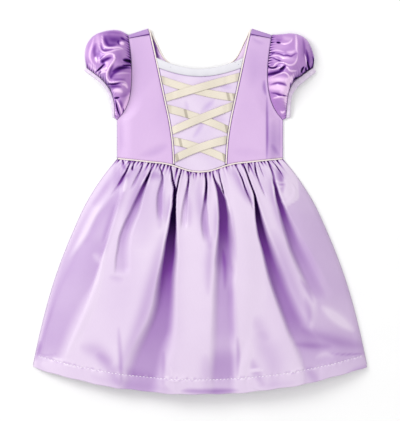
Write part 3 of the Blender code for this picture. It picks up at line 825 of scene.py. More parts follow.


# The long folds, from left to right, each with painted shade, then the two flanks, which are mostly broad
# painted shade.
FOLDS = (
    Fold("edge_tick", (
        (-129.5, 84, 0.8, 1.3, 1, 4, 0.6), (-128.5, 80, 0.8, 1.3, 1, 4, 0.7),
        (-127.5, 75, 0.8, 0.7, 0.8, 0, 0))),
    Fold("tick_left", (
        (-116, 81, 0.8, 1, 1, 6, 0.6), (-120, 72, 1, 1.3, 1, 7, 0.64), (-124, 63.5, 1.2, 1.6, 1.2, 7, 0.56),
        (-129.5, 55.5, 1.6, 2.3, 2, 6, 0.36), (-133.5, 48.5, 2, 2.5, 2.5, 5, 0.3),
        (-138.5, 40.5, 2, 2.3, 2.5, 4, 0.2), (-144.5, 31.5, 2.5, 1.6, 2.5, 2, 0.08),
        (-150, 22.5, 2.5, 1.6, 2.5, 0, 0))),
    Fold("pinch_left", (
        (-110.5, 81, 0.8, 1, 0.8, 5, 0.5), (-111.5, 74, 0.8, 0.8, 0.8, 5, 0.62),
        (-113.5, 69.5, 0.8, 2, 1, 5, 0.66), (-112.5, 64.5, 0.8, 0.8, 0.8, 0, 0))),
    Fold("soft_tick", (
        (-95, 80, 0.8, 0.8, 1, 6, 0.6), (-97.5, 72, 1, 1, 1.3, 6, 0.46), (-101.5, 63.5, 1.3, 1.3, 2, 5, 0.28),
        (-106.5, 54.5, 2, 1.6, 3, 4, 0.18), (-111, 45.5, 2.5, 1.6, 3.3, 3, 0.11),
        (-116.5, 34, 2.5, 1.6, 3.3, 0, 0))),
    Fold("short_left", (
        (-80.5, 72, 0.8, 0.5, 0.8, 6, 0.2), (-83.5, 65, 1, 1.5, 1, 9, 0.5),
        (-87.5, 57, 1.2, 2.3, 1.5, 11, 0.76), (-92, 48.5, 1.5, 2.8, 2.6, 11, 0.62),
        (-97, 39, 2, 3.3, 4.3, 10, 0.34), (-103, 27, 2.6, 4, 5.9, 9, 0.27),
        (-109.5, 14, 3.6, 4.9, 7.6, 8, 0.22), (-117, -2.5, 4.3, 5.9, 9.9, 7, 0.17),
        (-126, -20.5, 4.3, 6.6, 11.5, 6, 0.18), (-133.5, -40.5, 4, 6.6, 13.2, 6, 0.17),
        (-137, -62, 3.6, 7.3, 14.8, 5, 0.12), (-140, -81.5, 4, 9.9, 14.8, 4, 0.09),
        (-141, -95, 4.9, 11.5, 13.2, 3, 0.07), (-142, -105, 4.9, 11.5, 13.2, 0, 0))),
    Fold("second_left", (
        (-68.5, 73.5, 0.8, 0.5, 0.8, 4, 0.2), (-66, 67, 0.8, 0.8, 1, 6, 0.36), (-64, 59.5, 1, 1, 1.3, 6, 0.4),
        (-64, 52, 1.3, 1.5, 2.3, 6, 0.28), (-67, 42, 2.3, 2.6, 3.3, 5, 0.15),
        (-71, 29, 3.3, 3.3, 4.3, 4, 0.12), (-72.5, 12.5, 4, 3.3, 4.9, 4, 0.11),
        (-72, -2.5, 4, 3.3, 4.9, 3, 0.08), (-71, -17.5, 4, 3.3, 4.9, 0, 0))),
    Fold("deep_left", (
        (-50, 75, 0.8, 0.7, 1, 8, 0.6), (-48.5, 63.5, 1, 1.3, 1.2, 10, 0.72),
        (-47, 50.5, 1, 1.6, 1.3, 12, 0.74), (-44, 37, 1, 2.6, 1.2, 15, 0.8), (-45, 24, 1, 4.3, 1.3, 18, 0.8),
        (-46, 9, 1.2, 4.6, 1.3, 20, 0.8), (-48.5, -6, 1.3, 6.9, 1.5, 22, 0.78),
        (-51, -20.5, 2.3, 7.8, 3, 22, 0.73), (-54, -35.5, 3.1, 8.6, 5.3, 22, 0.65),
        (-57.5, -50.5, 4, 9.2, 7.9, 22, 0.57), (-61, -68.5, 5.6, 10.1, 10.2, 20, 0.5),
        (-65.5, -88.5, 7.3, 10.9, 11.5, 18, 0.43), (-70.5, -109.5, 9.6, 11.7, 12.2, 16, 0.38),
        (-75.5, -133, 12.2, 12.9, 13.5, 14, 0.345), (-80, -154.5, 14.2, 14.5, 14.5, 12, 0.315),
        (-88, -177.5, 16.5, 18.1, 17.5, 10, 0.29), (-99.5, -199, 19.8, 23.1, 19.8, 9, 0.27),
        (-113, -222, 23.1, 23.1, 29.7, 8, 0.25), (-124.5, -245, 24.8, 26.4, 29.7, 7, 0.23),
        (-133.5, -270, 24.8, 29.7, 28, 6, 0.22), (-140, -299.5, 23.1, 29.7, 28, 5, 0.2))),
    Fold("deep_left_fork", (
        (-30.5, 70, 0.8, 0.7, 1, 8, 0.6), (-33.5, 62, 1, 1, 1.2, 9, 0.7), (-36.5, 52, 1, 1.2, 1.2, 11, 0.68),
        (-38.5, 42, 1, 1.3, 1.2, 14, 0.72), (-40.5, 32, 1, 1.3, 1.2, 17, 0.78),
        (-42, 20.5, 1, 1.3, 1.2, 0, 0))),
    Fold("near_left", (
        (-20, 67, 0.8, 1, 1, 7, 0.56), (-20, 57, 0.8, 1.3, 1, 8, 0.64), (-21, 47, 1, 1.5, 1.3, 8, 0.58),
        (-23, 37, 1.5, 1.6, 2, 7, 0.34), (-25.5, 27, 2, 2.3, 2.6, 6, 0.2),
        (-28.5, 14, 2.6, 3.3, 3.6, 5, 0.12), (-31.5, -2.5, 3.3, 4, 4.9, 4, 0.09),
        (-32.5, -19, 3.3, 4.3, 4.9, 3, 0.07), (-32.5, -30.5, 3.3, 4.3, 4.9, 0, 0))),
    Fold("pinch_middle", (
        (-13, 65, 0.8, 0.5, 1, 4, 0.3), (-12, 58.5, 0.8, 0.7, 1, 3, 0.3), (-11.5, 50.5, 0.8, 0.7, 1, 0, 0))),
    Fold("centre", (
        (6.5, 62, 0.8, 0.8, 1, 7, 0.6), (8, 53.5, 0.8, 1.8, 1.2, 9, 0.74),
        (8.5, 43.5, 0.8, 2.3, 1.2, 10, 0.74), (8, 34, 1, 2.3, 1.3, 9, 0.6), (6.5, 22.5, 1.5, 2.3, 2, 8, 0.36),
        (4.5, 10.5, 2.3, 2.5, 3.3, 6, 0.2), (1.5, -4, 4, 4.3, 4.9, 5, 0.13),
        (0, -20.5, 4.9, 5.6, 5.6, 4, 0.11), (1.5, -37, 4.9, 5.9, 5.6, 3, 0.09),
        (5, -53.5, 4.9, 4.9, 4.9, 0, 0))),
    Fold("deep_right", (
        (19.5, 63.5, 0.8, 0.8, 1, 7, 0.5), (21, 55.5, 0.8, 1.2, 1.3, 9, 0.6),
        (23.5, 47, 1, 1.5, 2.3, 12, 0.5), (25.5, 39, 2, 3.6, 2.6, 15, 0.42),
        (27, 30.5, 2.5, 5.6, 2.6, 17, 0.44), (28.5, 19, 2.6, 8.9, 3.3, 18, 0.43),
        (29.5, 6, 2.8, 9.6, 4.9, 18, 0.43), (30, -9, 3.1, 9.9, 8.2, 18, 0.43),
        (29.5, -24, 3.5, 9.6, 10.9, 18, 0.41), (28.5, -39, 4.6, 9.9, 13.2, 17, 0.38),
        (26.5, -53.5, 6.4, 10.6, 14.8, 16, 0.34), (24.5, -68.5, 8.2, 11.4, 14.8, 14, 0.31),
        (22.5, -83.5, 10.2, 12.7, 13.9, 12, 0.28), (22, -98, 11.5, 13.7, 13.9, 10, 0.23),
        (20, -116.5, 13.2, 12.5, 13.9, 8, 0.2), (18, -139.5, 14.8, 13.9, 13.9, 7, 0.19),
        (17, -167.5, 14.8, 14.8, 13.9, 6, 0.17), (15, -197, 16.5, 16.5, 13.9, 5, 0.15),
        (14, -222, 16.5, 16.5, 14.8, 4, 0.13), (12.5, -243.5, 16.5, 19.8, 16.5, 4, 0.2),
        (11, -265, 16.5, 21.4, 16.5, 3, 0.2), (10, -299.5, 16.5, 21.4, 16.5, 2, 0.1))),
    Fold("deep_right_fork", (
        (29.5, 65, 0.8, 0.5, 0.8, 7, 0.45), (31.5, 55.5, 0.8, 0.7, 0.8, 9, 0.5),
        (33.5, 45.5, 0.8, 0.8, 0.8, 11, 0.44), (36.5, 34, 0.8, 0.8, 0.8, 14, 0.5),
        (39, 22.5, 0.8, 0.8, 0.8, 0, 0))),
    Fold("narrow_right", (
        (59.5, 72, 0.8, 0.5, 1, 4, 0.34), (63.5, 62.5, 0.8, 0.8, 1, 6, 0.5), (68, 52, 0.8, 1, 1.2, 7, 0.62),
        (71.5, 41, 0.8, 1, 1.2, 7, 0.56), (75, 30.5, 1, 1, 1.6, 6, 0.36), (79.5, 19, 1.3, 1.3, 2.6, 5, 0.17),
        (84, 7.5, 1.6, 1.3, 3.3, 3, 0.08), (87.5, -2.5, 1.6, 1.3, 3.3, 0, 0))),
    Fold("long_right", (
        (70.5, 76, 0.8, 1.2, 1, 8, 0.66), (72.5, 70, 0.8, 1.6, 1, 9, 0.74), (76, 60, 0.8, 1.5, 1.2, 12, 0.72),
        (80, 48.5, 0.8, 1.6, 1.2, 15, 0.76), (84, 37, 0.8, 1.6, 1.3, 17, 0.78),
        (88, 25, 0.8, 1.8, 1.5, 19, 0.8), (89, 12.5, 1.8, 2.6, 2.3, 20, 0.76),
        (89.5, 1, 2.3, 3.6, 4.3, 21, 0.7), (90, -12.5, 3, 4.6, 6.6, 21, 0.63),
        (91.5, -25.5, 3.6, 4.9, 9.2, 21, 0.55), (93.5, -40.5, 4.6, 5.6, 11.5, 20, 0.48),
        (97.5, -55.5, 4.6, 6.3, 13.9, 18, 0.43), (101.5, -72, 5.3, 6.9, 16.5, 17, 0.39),
        (105, -89, 6.3, 8.2, 18.1, 16, 0.355), (109.5, -108, 7.3, 9.9, 19.8, 15, 0.33),
        (116, -129.5, 7.9, 11.2, 19.8, 13, 0.315), (123.5, -152.5, 9.2, 11.9, 23.1, 11, 0.3),
        (132, -177.5, 10.6, 13.2, 28, 9, 0.28), (139.5, -199, 11.5, 14.8, 39.6, 8, 0.235),
        (147, -218.5, 14.8, 19.8, 59.4, 6, 0.18), (155, -237, 14.8, 23.1, 49.5, 5, 0.14),
        (161.5, -256.5, 14.8, 16.5, 26.4, 3, 0.12), (165, -296, 14.8, 11.5, 16.5, 2, 0.1))),
    Fold("long_right_fork", (
        (78, 79, 0.8, 1, 0.8, 7, 0.6), (79, 70, 0.8, 0.8, 1.3, 6, 0.34), (80, 60, 0.8, 0.7, 1.6, 0, 0))),
    Fold("short_right", (
        (89, 76.5, 0.8, 1.3, 1, 7, 0.6), (90, 67, 0.8, 1.5, 1.2, 8, 0.66), (92, 58.5, 0.8, 1.2, 1.3, 7, 0.44),
        (95.5, 48.5, 1, 0.8, 1.5, 5, 0.28), (99, 39, 1.2, 0.8, 1.8, 4, 0.2),
        (103, 29.5, 1.3, 0.7, 2.3, 3, 0.1), (106.5, 22.5, 1.3, 0.7, 2.3, 0, 0))),
    Fold("pinch_right", (
        (95.5, 78.5, 0.8, 0.5, 0.8, 5, 0.4), (98.5, 70, 0.8, 0.5, 1, 4, 0.34),
        (101.5, 62, 0.8, 0.5, 1.2, 3, 0.22), (105.5, 53.5, 1, 0.5, 1.3, 0, 0))),
    Fold("outer_right", (
        (111, 81, 0.8, 1.2, 1, 7, 0.64), (114, 72.5, 0.8, 1.3, 1.3, 7, 0.62), (117, 65, 1, 1.2, 2.3, 6, 0.42),
        (119, 56, 1, 1.5, 3.3, 6, 0.3), (120, 47, 0.8, 2, 3.3, 8, 0.4), (122, 37, 1, 2.5, 3.3, 10, 0.56),
        (123, 25.5, 2.6, 3, 3.6, 12, 0.54), (125, 12.5, 4, 3.6, 5.3, 13, 0.48),
        (127.5, 1, 4.9, 4.3, 7.6, 14, 0.42), (130, -12.5, 6.3, 4.9, 9.9, 14, 0.37),
        (133.5, -27, 7.3, 5.6, 13.2, 14, 0.33), (138, -43.5, 8.2, 6.3, 16.5, 14, 0.3),
        (143, -62, 9.6, 6.6, 23.1, 13, 0.27), (150, -80, 10.6, 7.3, 24.8, 12, 0.24),
        (157.5, -98, 11.5, 7.3, 28, 10, 0.21), (165.5, -116.5, 12.5, 7.3, 29.7, 7, 0.2),
        (174, -133, 13.2, 7.3, 36.3, 4, 0.17), (183, -149.5, 13.2, 6.6, 36.3, 0, 0.1))),
    Fold("far_right", (
        (117.5, 82, 0.8, 0.8, 1, 5, 0.6), (124.5, 73.5, 0.8, 1, 1, 6, 0.64),
        (130, 65.5, 0.8, 0.8, 1.2, 5, 0.5), (134.5, 58.5, 0.8, 0.7, 1.3, 3, 0.2),
        (137, 53, 0.8, 0.7, 1.3, 0, 0))),
    Fold("flank_left", (
        (-148.5, 25.5, 9.9, 5.9, 1.6, 1, 0.07), (-163.5, 9, 13.2, 11.5, 6.6, 2, 0.08),
        (-174, -7.5, 9.9, 20.1, 8.2, 3, 0.09), (-182.5, -24, 9.9, 23.8, 8.2, 3, 0.1),
        (-193, -40.5, 13.2, 27.1, 6.6, 3, 0.12), (-206, -57, 14.8, 34.3, 4.9, 4, 0.155),
        (-218, -73.5, 14.8, 41.2, 4.9, 4, 0.165), (-227, -90, 16.5, 43.7, 6.6, 4, 0.165),
        (-237.5, -114.5, 14.8, 46.2, 13.2, 4, 0.155), (-249, -147.5, 13.2, 36.3, 29.7, 4, 0.14),
        (-258, -180.5, 9.9, 29.7, 29.7, 4, 0.15), (-269, -222, 8.2, 26.4, 26.4, 3, 0.155),
        (-275.5, -250, 8.2, 23.1, 26.4, 2, 0.1))),
    Fold("flank_right", (
        (158.5, 53.5, 4.9, 148.5, 16.5, 0, 0.05), (160, 34, 4.9, 148.5, 16.5, 1, 0.09),
        (157, 17.5, 6.6, 148.5, 16.5, 1, 0.1), (139.5, 6, 6.6, 148.5, 16.5, 1, 0.1),
        (138.5, -7.5, 6.6, 148.5, 16.5, 1, 0.115), (143.5, -32, 9.9, 148.5, 16.5, 1, 0.115),
        (154.5, -65, 11.5, 148.5, 16.5, 1, 0.115), (166.5, -98, 11.5, 148.5, 16.5, 1, 0.115),
        (178, -131, 11.5, 148.5, 16.5, 1, 0.115), (181.5, -156, 14.8, 148.5, 16.5, 1, 0.1),
        (171.5, -180.5, 23.1, 148.5, 16.5, 1, 0.1), (165, -205.5, 16.5, 148.5, 16.5, 1, 0.12),
        (161.5, -230, 9.9, 148.5, 16.5, 1, 0.14), (165, -266.5, 8.2, 148.5, 16.5, 1, 0.1))),
)
# The smaller ridges and troughs of the open cloth, the hem and the flanks, with painted highlights on ridges,
# painted shade in troughs, and soft patches of painted shade and light.
SKIRT_CREASES = creases_of(
    (((-122, 50.5), (-128.5, 24), (-140, -7.5), (-150, -39), (-160, -75)), 1.6, 7, 2.6, 0.05),
    (((-155, -62), (-165, -95), (-176.5, -134.5), (-193, -177.5), (-208, -210.5), (-221, -240)),
      2.6, 9, 2.6, -0.12),
    (((-142, 42), (-158.5, 19), (-171.5, -2.5), (-185, -29), (-199.5, -55.5), (-214.5, -80)),
      0.8, 5, 6, -0.05),
    (((-135.5, 73.5), (-148.5, 47), (-163.5, 20.5), (-178, 7.5)), -0.8, 12, 10, 0.12),
    (((-143.5, 57), (-178, 7.5), (-206, -48.5), (-231, -106.5), (-249, -164), (-267.5, -233.5)), 0, 7, 0.11),
    (((-82.5, 76.5), (-82.5, 34), (-89, -15.5), (-95.5, -65)), 0, 20, 26, 0.07),
    (((-130.5, 81.5), (-127, 63.5), (-135.5, 39)), 0, 7, 0.13),
    (((-94, 53.5), (-79, 58.5), (-61, 55.5)), 0, 8, 0.16),
    (((-102.5, 63.5), (-132, 24), (-165, -9), (-191.5, -55.5)), 0, 14, 11, 0.085),
    (((-138.5, 12.5), (-148.5, -20.5), (-160, -53.5)), 0, 2, 6, 0.1),
    (((-59.5, -35.5), (-71, -85), (-81, -128), (-94, -172.5), (-114, -222), (-135.5, -270)),
      -0.8, 12, 11, 0.13),
    (((-119, -40.5), (-128.5, -131), (-140, -222)), 0, 34, 0.04),
    (((-89, 75), (-95.5, 50.5), (-105.5, 24), (-115.5, -2.5), (-122, -32)), -1, 7, 9, 0.11),
    (((-120.5, 57), (-123, 40.5), (-125.5, 29)), 1.5, 3, -0.2),
    (((-64.5, 53.5), (-62.5, 17.5), (-66, -32)), 0, 6, 8, 0.12),
    (((-176.5, -70), (-168.5, -78.5), (-160, -88.5)), 0.5, 7, 5, -0.08),
    (((-150, -108), (-138.5, -110.5), (-124, -114.5)), -0.6, 4, 6, 0.05),
    (((-198, -223.5), (-171.5, -230), (-142, -250)), -0.8, 13, 0.1),
    (((0, 60), (-1.5, 24), (6.5, -19), (18, -65)), -0.8, 8, 9, 0.11),
    (((-21.5, 34), (-18, 4), (-16.5, -29)), 0, 6, 0.09),
    (((10, -233.5), (11.5, -263), (10, -296)), 0, 9, 12, 0.08),
    (((115.5, 57), (120.5, 24), (128.5, -9), (140, -45.5)), 0, 3, 6, 0.1),
    (((171.5, -141), (180, -167.5), (178, -190.5)), 0, 6, 0.1),
    (((236, -40.5), (257.5, -119.5), (271.5, -189), (282, -260)), 0, 4, 5, 0.42),
    (((43, 73.5), (59.5, 57), (71, 37), (82.5, 10.5)), 0, 9, 0.14),
    (((61, 9), (79, -48.5), (92.5, -101.5), (105.5, -147.5)), 0, 9, -0.07),
    (((53, 24), (66, -15.5), (77.5, -81.5), (76, -147.5), (71, -213.5)), 1, 18, 13, -0.16),
    (((95.5, -197), (105.5, -222), (119, -250), (119, -289.5)), -1, 20, 18, 0.09),
    (((119, -29), (138.5, -85), (160, -139.5), (181.5, -184)), -0.6, 12, 11, 0.1),
    (((105.5, 70), (112, 42), (120.5, 9)), 0, 6, 8, 0.05),
    (((82.5, -213.5), (79, -238.5), (71, -260), (69.5, -279.5), (74, -298)), 1, 7, 9, -0.1),
    (((76.5, -263), (89, -261.5), (104, -260.5)), 1.2, 1.8, 1.6, -0.3),
    (((77.5, -278), (87.5, -289), (104, -294.5)), 1.2, 1.8, 1.6, -0.2),
    (((148.5, -265.5), (160, -261.5), (170, -257.5)), 0.8, 1.6, -0.25),
    (((-61, -269), (-43, -279.5), (-20, -270)), 0.8, 2, -0.2),
    (((-48, -256.5), (-43, -279.5), (-39, -298)), 0.8, 1.6, -0.2),
    (((-56, -279.5), (-39.5, -284.5), (-20, -279.5)), 0.6, 12, 10, -0.12),
    (((140, 45.5), (153.5, 41), (157, 30.5), (152, 19), (142, 12.5), (130.5, 15.5)), 2, 2.2, -0.28),
    (((133.5, 40.5), (142, 30.5), (143.5, 20.5)), 0.5, 7, -0.06),
    (((123, 48.5), (133.5, 46.5), (145, 50.5)), 1.2, 1.7, -0.2),
    (((125.5, 42), (132, 39), (140, 39)), 0.8, 1.5, -0.16),
    (((125.5, 75), (133, 55.5), (137, 27)), -1.2, 5, 6, 0.26),
    (((198, -156), (219.5, -174), (237.5, -187.5), (256, -200.5)), 0.8, 9, 7, -0.15),
    (((165, -194), (201.5, -208.5), (237.5, -218.5), (275.5, -225)), -1.5, 11, 9, 0.1),
    (((214.5, -235), (241, -237), (274, -236)), -0.8, 1.7, 0.1),
    (((188, -241.5), (208, -235), (221, -241.5)), 0.6, 3.5, 6, -0.07),
    (((171.5, -256.5), (183, -268), (194.5, -286.5)), 0, 8, 0.08),
    (((-264, -251.5), (-231, -260), (-201.5, -270), (-178, -279.5)), 0.4, 11, -0.1),
    (((-198, -266.5), (-148.5, -279.5), (-82.5, -289.5), (0, -293)), 0, 10, 12, 0.08),
    (((86, -289.5), (124, -286.5), (161.5, -279.5)), 0, 8, 0.06),
    (((-270.5, -234.5), (-256, -238.5), (-231, -234.5)), -0.8, 1.6, 1.4, 0.04),
    (((-244, -241.5), (-227.5, -246.5), (-214.5, -245)), 0.6, 2, -0.16),
    (((-170, -233.5), (-147, -258), (-130.5, -288)), 0, 11, 0.12),
    (((-138.5, -253.5), (-99, -271.5), (-53, -278)), 0, 9, 0.05),
    (((-135.5, 34), (-114, 62), (-94, 76.5)), 0, 7, 0.12),
    (((29, 27), (28, -6), (25, -48.5)), 0, 2, 6, 0.1),
    (((-48, 27), (-50.5, 4), (-56, -22.5)), 0, 2, 6, 0.12),
    (((37.5, -62), (40.5, -91.5), (41, -131)), 0, 4, 0.1),
    (((-237.5, -276.5), (-190, -289.5), (-124, -296)), 0, 5, 6, 0.18),
    (((-264, -213.5), (-267.5, -230), (-274, -250)), 0, 5, 0.14),
    (((-130.5, 81.5), (-125.5, 73.5), (-120.5, 65)), 0, 3.4, 0.2),
    (((-133.5, -189), (-130.5, -233.5), (-128.5, -283)), 0, 4, 0.12),
    (((-59.5, -230), (-59.5, -260), (-61, -286.5)), 0, 4, 0.09),
    (((61, -205.5), (62.5, -238.5), (61, -276.5)), 0, 4, 0.14),
    (((152, -218.5), (185, -222), (218, -223.5)), 0, 6, 0.1),
    (((163.5, -111.5), (176.5, -131), (186.5, -152.5)), 0, 4, 0.12),
    (((79, -164), (95.5, -189), (112, -213.5)), 0, 12, 0.07),
    (((82.5, -240), (92.5, -266.5), (105.5, -288)), 0, 8, 0.12),
    (((-33, -294.5), (13, -296), (66, -294.5)), 0, 5, 6, 0.2),
    (((239, -271.5), (264, -265), (287, -256.5)), 0, 7, 6, 0.12),
    (((18, -39), (15, -85), (13, -139.5)), 0, 5, 8, 0.1),
    (((51, 7.5), (54.5, -35.5), (58, -85)), 0, 5, 6, 0.1),
    (((51, -106.5), (53.5, -156), (56, -222)), 0, 7, 0.07),
    (((165, -45.5), (183, -85), (198, -123)), 0, 7, 0.04),
    (((10, 50.5), (9, 34), (6.5, 12.5)), 0, 5, 2, 0.14),
)


@dataclass
class Skirt:
    """The gathered front skirt with its folds and hem, and the plain back skirt under it."""

    finishes: Finishes
    columns: int = 321
    rows: int = 152
    # 18 wide gathers in each half of the waist, and the fine row.
    gather_rows: tuple[GatherRow, ...] = (
        GatherRow(CUT.waist_half / 18, 1, 6, 16, 1.2, 0.14, 1.5),
        GatherRow(5.3, 11, 3, 7, 1.5, 1.3, 1.2),
    )
    # Painted shade where the cloth turns down into the waist seam.
    seam_dark: float = 0.2
    seam_fade: float = 1.6
    # Rows stand closer under the waist and at the hem: share of the rows, and share of the way down.
    row_places: Path = ((0, 0), (0.14, 0.045), (0.84, 0.925), (1, 1))
    hem_deep: float = 24.0
    hem_side_less: float = 4.5
    hem_side_at: float = 270.0
    hem_wavy: float = 0.5
    edge_z: float = 2.7
    floor_z: float = 10.5
    floor_under_waist: float = 0.6
    swell_high: float = 0.9
    folds: tuple[Fold, ...] = FOLDS
    creases: tuple[Crease, ...] = SKIRT_CREASES

    def swell(self, x: Grid, y: Grid) -> Grid:
        """The soft low waves of the cloth as it lies."""
        return self.swell_high * (np.sin(x / 21 + 1.3 * np.sin(y / 60)) + np.sin(x / 33 - y / 90))

    def folded(self, x: Grid, y: Grid) -> tuple[Grid, Grid, Grid, Grid]:
        """Depth, rolled height, painted shade and painted highlight of all folds together, each where it is
        greatest.
        """
        depth, roll, shade, pale = (np.zeros(x.shape) for _ in range(4))
        for fold in self.folds:
            lift, dark = fold.relief(x, y)
            depth, roll = np.maximum(depth, -lift), np.maximum(roll, lift)
            shade, pale = np.maximum(shade, dark), np.minimum(pale, dark)
        return depth, roll, shade, pale

    def surface(self, across: Grid, down: Grid) -> tuple[Grid, Grid]:
        """Points of the front skirt and their painted shade, which is darkest deep in a fold.

        In plan a point lies at across times the half width, and down the share of the way from waist
        seam to hem. Its height is the dress's soft crown over the side seams, less the folds and the
        gathers, plus the rolled lips, and never below the folds' floor.

        Args:
            across: From -1 at the left side seam to 1 at the right one.
            down: From 0 at the waist to 1 at the hem.

        Returns:
            The points and their painted shade.
        """
        at_waist = across * CUT.waist_half
        top = CUT.waist_y(at_waist) - CUT.seam_half
        hem = CUT.hem_y(across)
        x = across * CUT.skirt_half(down)
        y = top + (hem - top) * down
        y = y + self.hem_wavy * down ** 24 * (np.sin(x / 6.5) + np.sin(x / 17 + 1))
        waist_z = CUT.front_top(at_waist, CUT.waist_y(at_waist))
        edge = (1 - np.abs(across) ** 3) ** 0.6
        from_waist = edge + (1 - edge) * (1 - smooth(down / 0.1))
        z = self.edge_z + (waist_z - self.edge_z) * from_waist + through(*zip(*CUT.skirt_crown), down) * edge
        z = z + edge * smooth(down / 0.3) * self.swell(x, y)
        depth, roll, shade, pale = self.folded(x, y)
        top_floor = waist_z - self.floor_under_waist
        floor = top_floor + (self.floor_z - top_floor) * smooth(down / 0.15)
        open_cloth = 1 - smooth(shade / 0.3)
        z = np.maximum(z - depth * edge, np.minimum(z, floor)) + roll * edge * open_cloth
        from_hem_line = y - hem - self.hem_line(x)
        # The folds' painted shade is weaker on the hem below its stitched line.
        shade = shade * (0.6 + 0.4 * smooth(from_hem_line / 2 + 0.5))
        # Creases add height and painted shade; the folds' painted highlights show only on open cloth.
        lift, tone = creased(self.creases, x, y)
        z, shade = z + lift * edge * (0.3 + 0.7 * open_cloth), shade + pale * open_cloth + tone
        side = smooth((1 - np.abs(across)) / 0.03)
        for dip, dark in (self.gathering(at_waist, top - y), self.hem_relief(x, y, hem)):
            z, shade = z - dip * side, np.maximum(shade, dark) + np.minimum(dark, 0)
        return xyz(x, y, z), shade

    def gathering(self, at_waist: Grid, below: Grid) -> tuple[Grid, Grid]:
        """Dip and painted shade of the gathers under the waist seam.

        Both rows are narrow valleys with their own place, depth and length, with painted shade in them
        and a painted highlight on the cloth between them. The fine row, which the gathering thread
        pinches, shows only in the first few millimetres.
        """
        total, shade = np.zeros(below.shape), self.seam_dark * np.exp(-below / self.seam_fade)
        for row in self.gather_rows:
            index = np.round(at_waist / row.pitch)
            shift = 0.35 * (uneven(index, row.salt) - 0.5)
            deep = smooth(uneven(index, row.salt + 1) / 0.7)
            fading = np.exp(-below / (row.shortest + row.longer * uneven(index, row.salt + 2) ** 2))
            valley, ridge = pinches(at_waist, row.pitch, row.wide + 0.04 * below, row.wide, shift)
            total = total + row.dip * deep * valley * fading
            shade = shade + row.dark * (deep * valley - 0.22 * ridge) * fading
        return total, shade

    def hem_relief(self, x: Grid, y: Grid, hem: Grid) -> tuple[Grid, Grid]:
        """Dip and painted shade of the hem's stitched line and of the small puckers along it, with broken
        bits of painted shade and highlight on both sides of the line, and a little darker below it.
        """
        from_line = y - hem - self.hem_line(x)
        line = hill(from_line, 1.3)
        puckers = 0.35 * np.sin(x / 1.9 + 1.5 * np.sin(x / 17)) * hill(from_line, 5.0)
        double = 1 - smooth(from_line / 1.5 + 0.5)
        broken = uneven(np.round(x / 4.2), 21) - 0.4
        above = broken * (hill(from_line - 2.2, 1.5) - hill(from_line + 1.4, 1.3))
        return 0.7 * line + puckers, 0.03 * line + 0.02 * double + 0.16 * above

    def hem_line(self, x: Grid) -> Grid:
        """How far the stitched line runs above the hem's edge: less towards the sides."""
        return self.hem_deep - self.hem_side_less * (x / self.hem_side_at) ** 2

    def build(self) -> None:
        """Makes the front skirt, its hem's stitches and the back skirt."""
        across = np.linspace(-1, 1, self.columns)[None, :]
        down = np.interp(np.linspace(0, 1, self.rows), *zip(*self.row_places))[:, None]
        across, down = np.broadcast_arrays(across, down)
        points, shade = self.surface(across, down)
        front = cloth_object("front_skirt_satin", points, self.finishes.skirt, shade)
        sew_in(front, "skirt_satin", "front_skirt")
        stitches = Stitching("hem_stitches", self.hem_stitch_line(), self.finishes.thread,
                             length=3.4, space=2.4, thick=1.0).build()
        sew_in(stitches, "skirt_satin")
        across = np.linspace(-1, 1, 97)[None, :]
        down = np.linspace(0, 1, 64)[:, None]
        top = CUT.back_waist_y(across * CUT.waist_half) - CUT.gap
        x = across * CUT.skirt_half(down)
        y = top + (CUT.hem_y(across) + 4 - top) * down
        back = cloth_object("back_skirt_satin", xyz(x, y, 0 * x), self.finishes.skirt,
                            np.full(x.shape, 0.08), faces_up=False, wall=1.0)
        sew_in(back, "skirt_satin", "back_skirt")

    def hem_stitch_line(self) -> Grid:
        """The line of stitches on the front skirt, a little above its cloth."""
        across = np.linspace(-0.985, 0.985, 900)
        down = np.ones(across.shape)
        for _ in range(4):
            points, _shade = self.surface(across, down)
            short = CUT.hem_y(across) + self.hem_line(points[:, 0]) - points[:, 1]
            down = down - short / (CUT.waist_y(across * CUT.waist_half) - CUT.hem_y(across))
        points, _shade = self.surface(across, down)
        points[:, 2] += 0.25
        return points


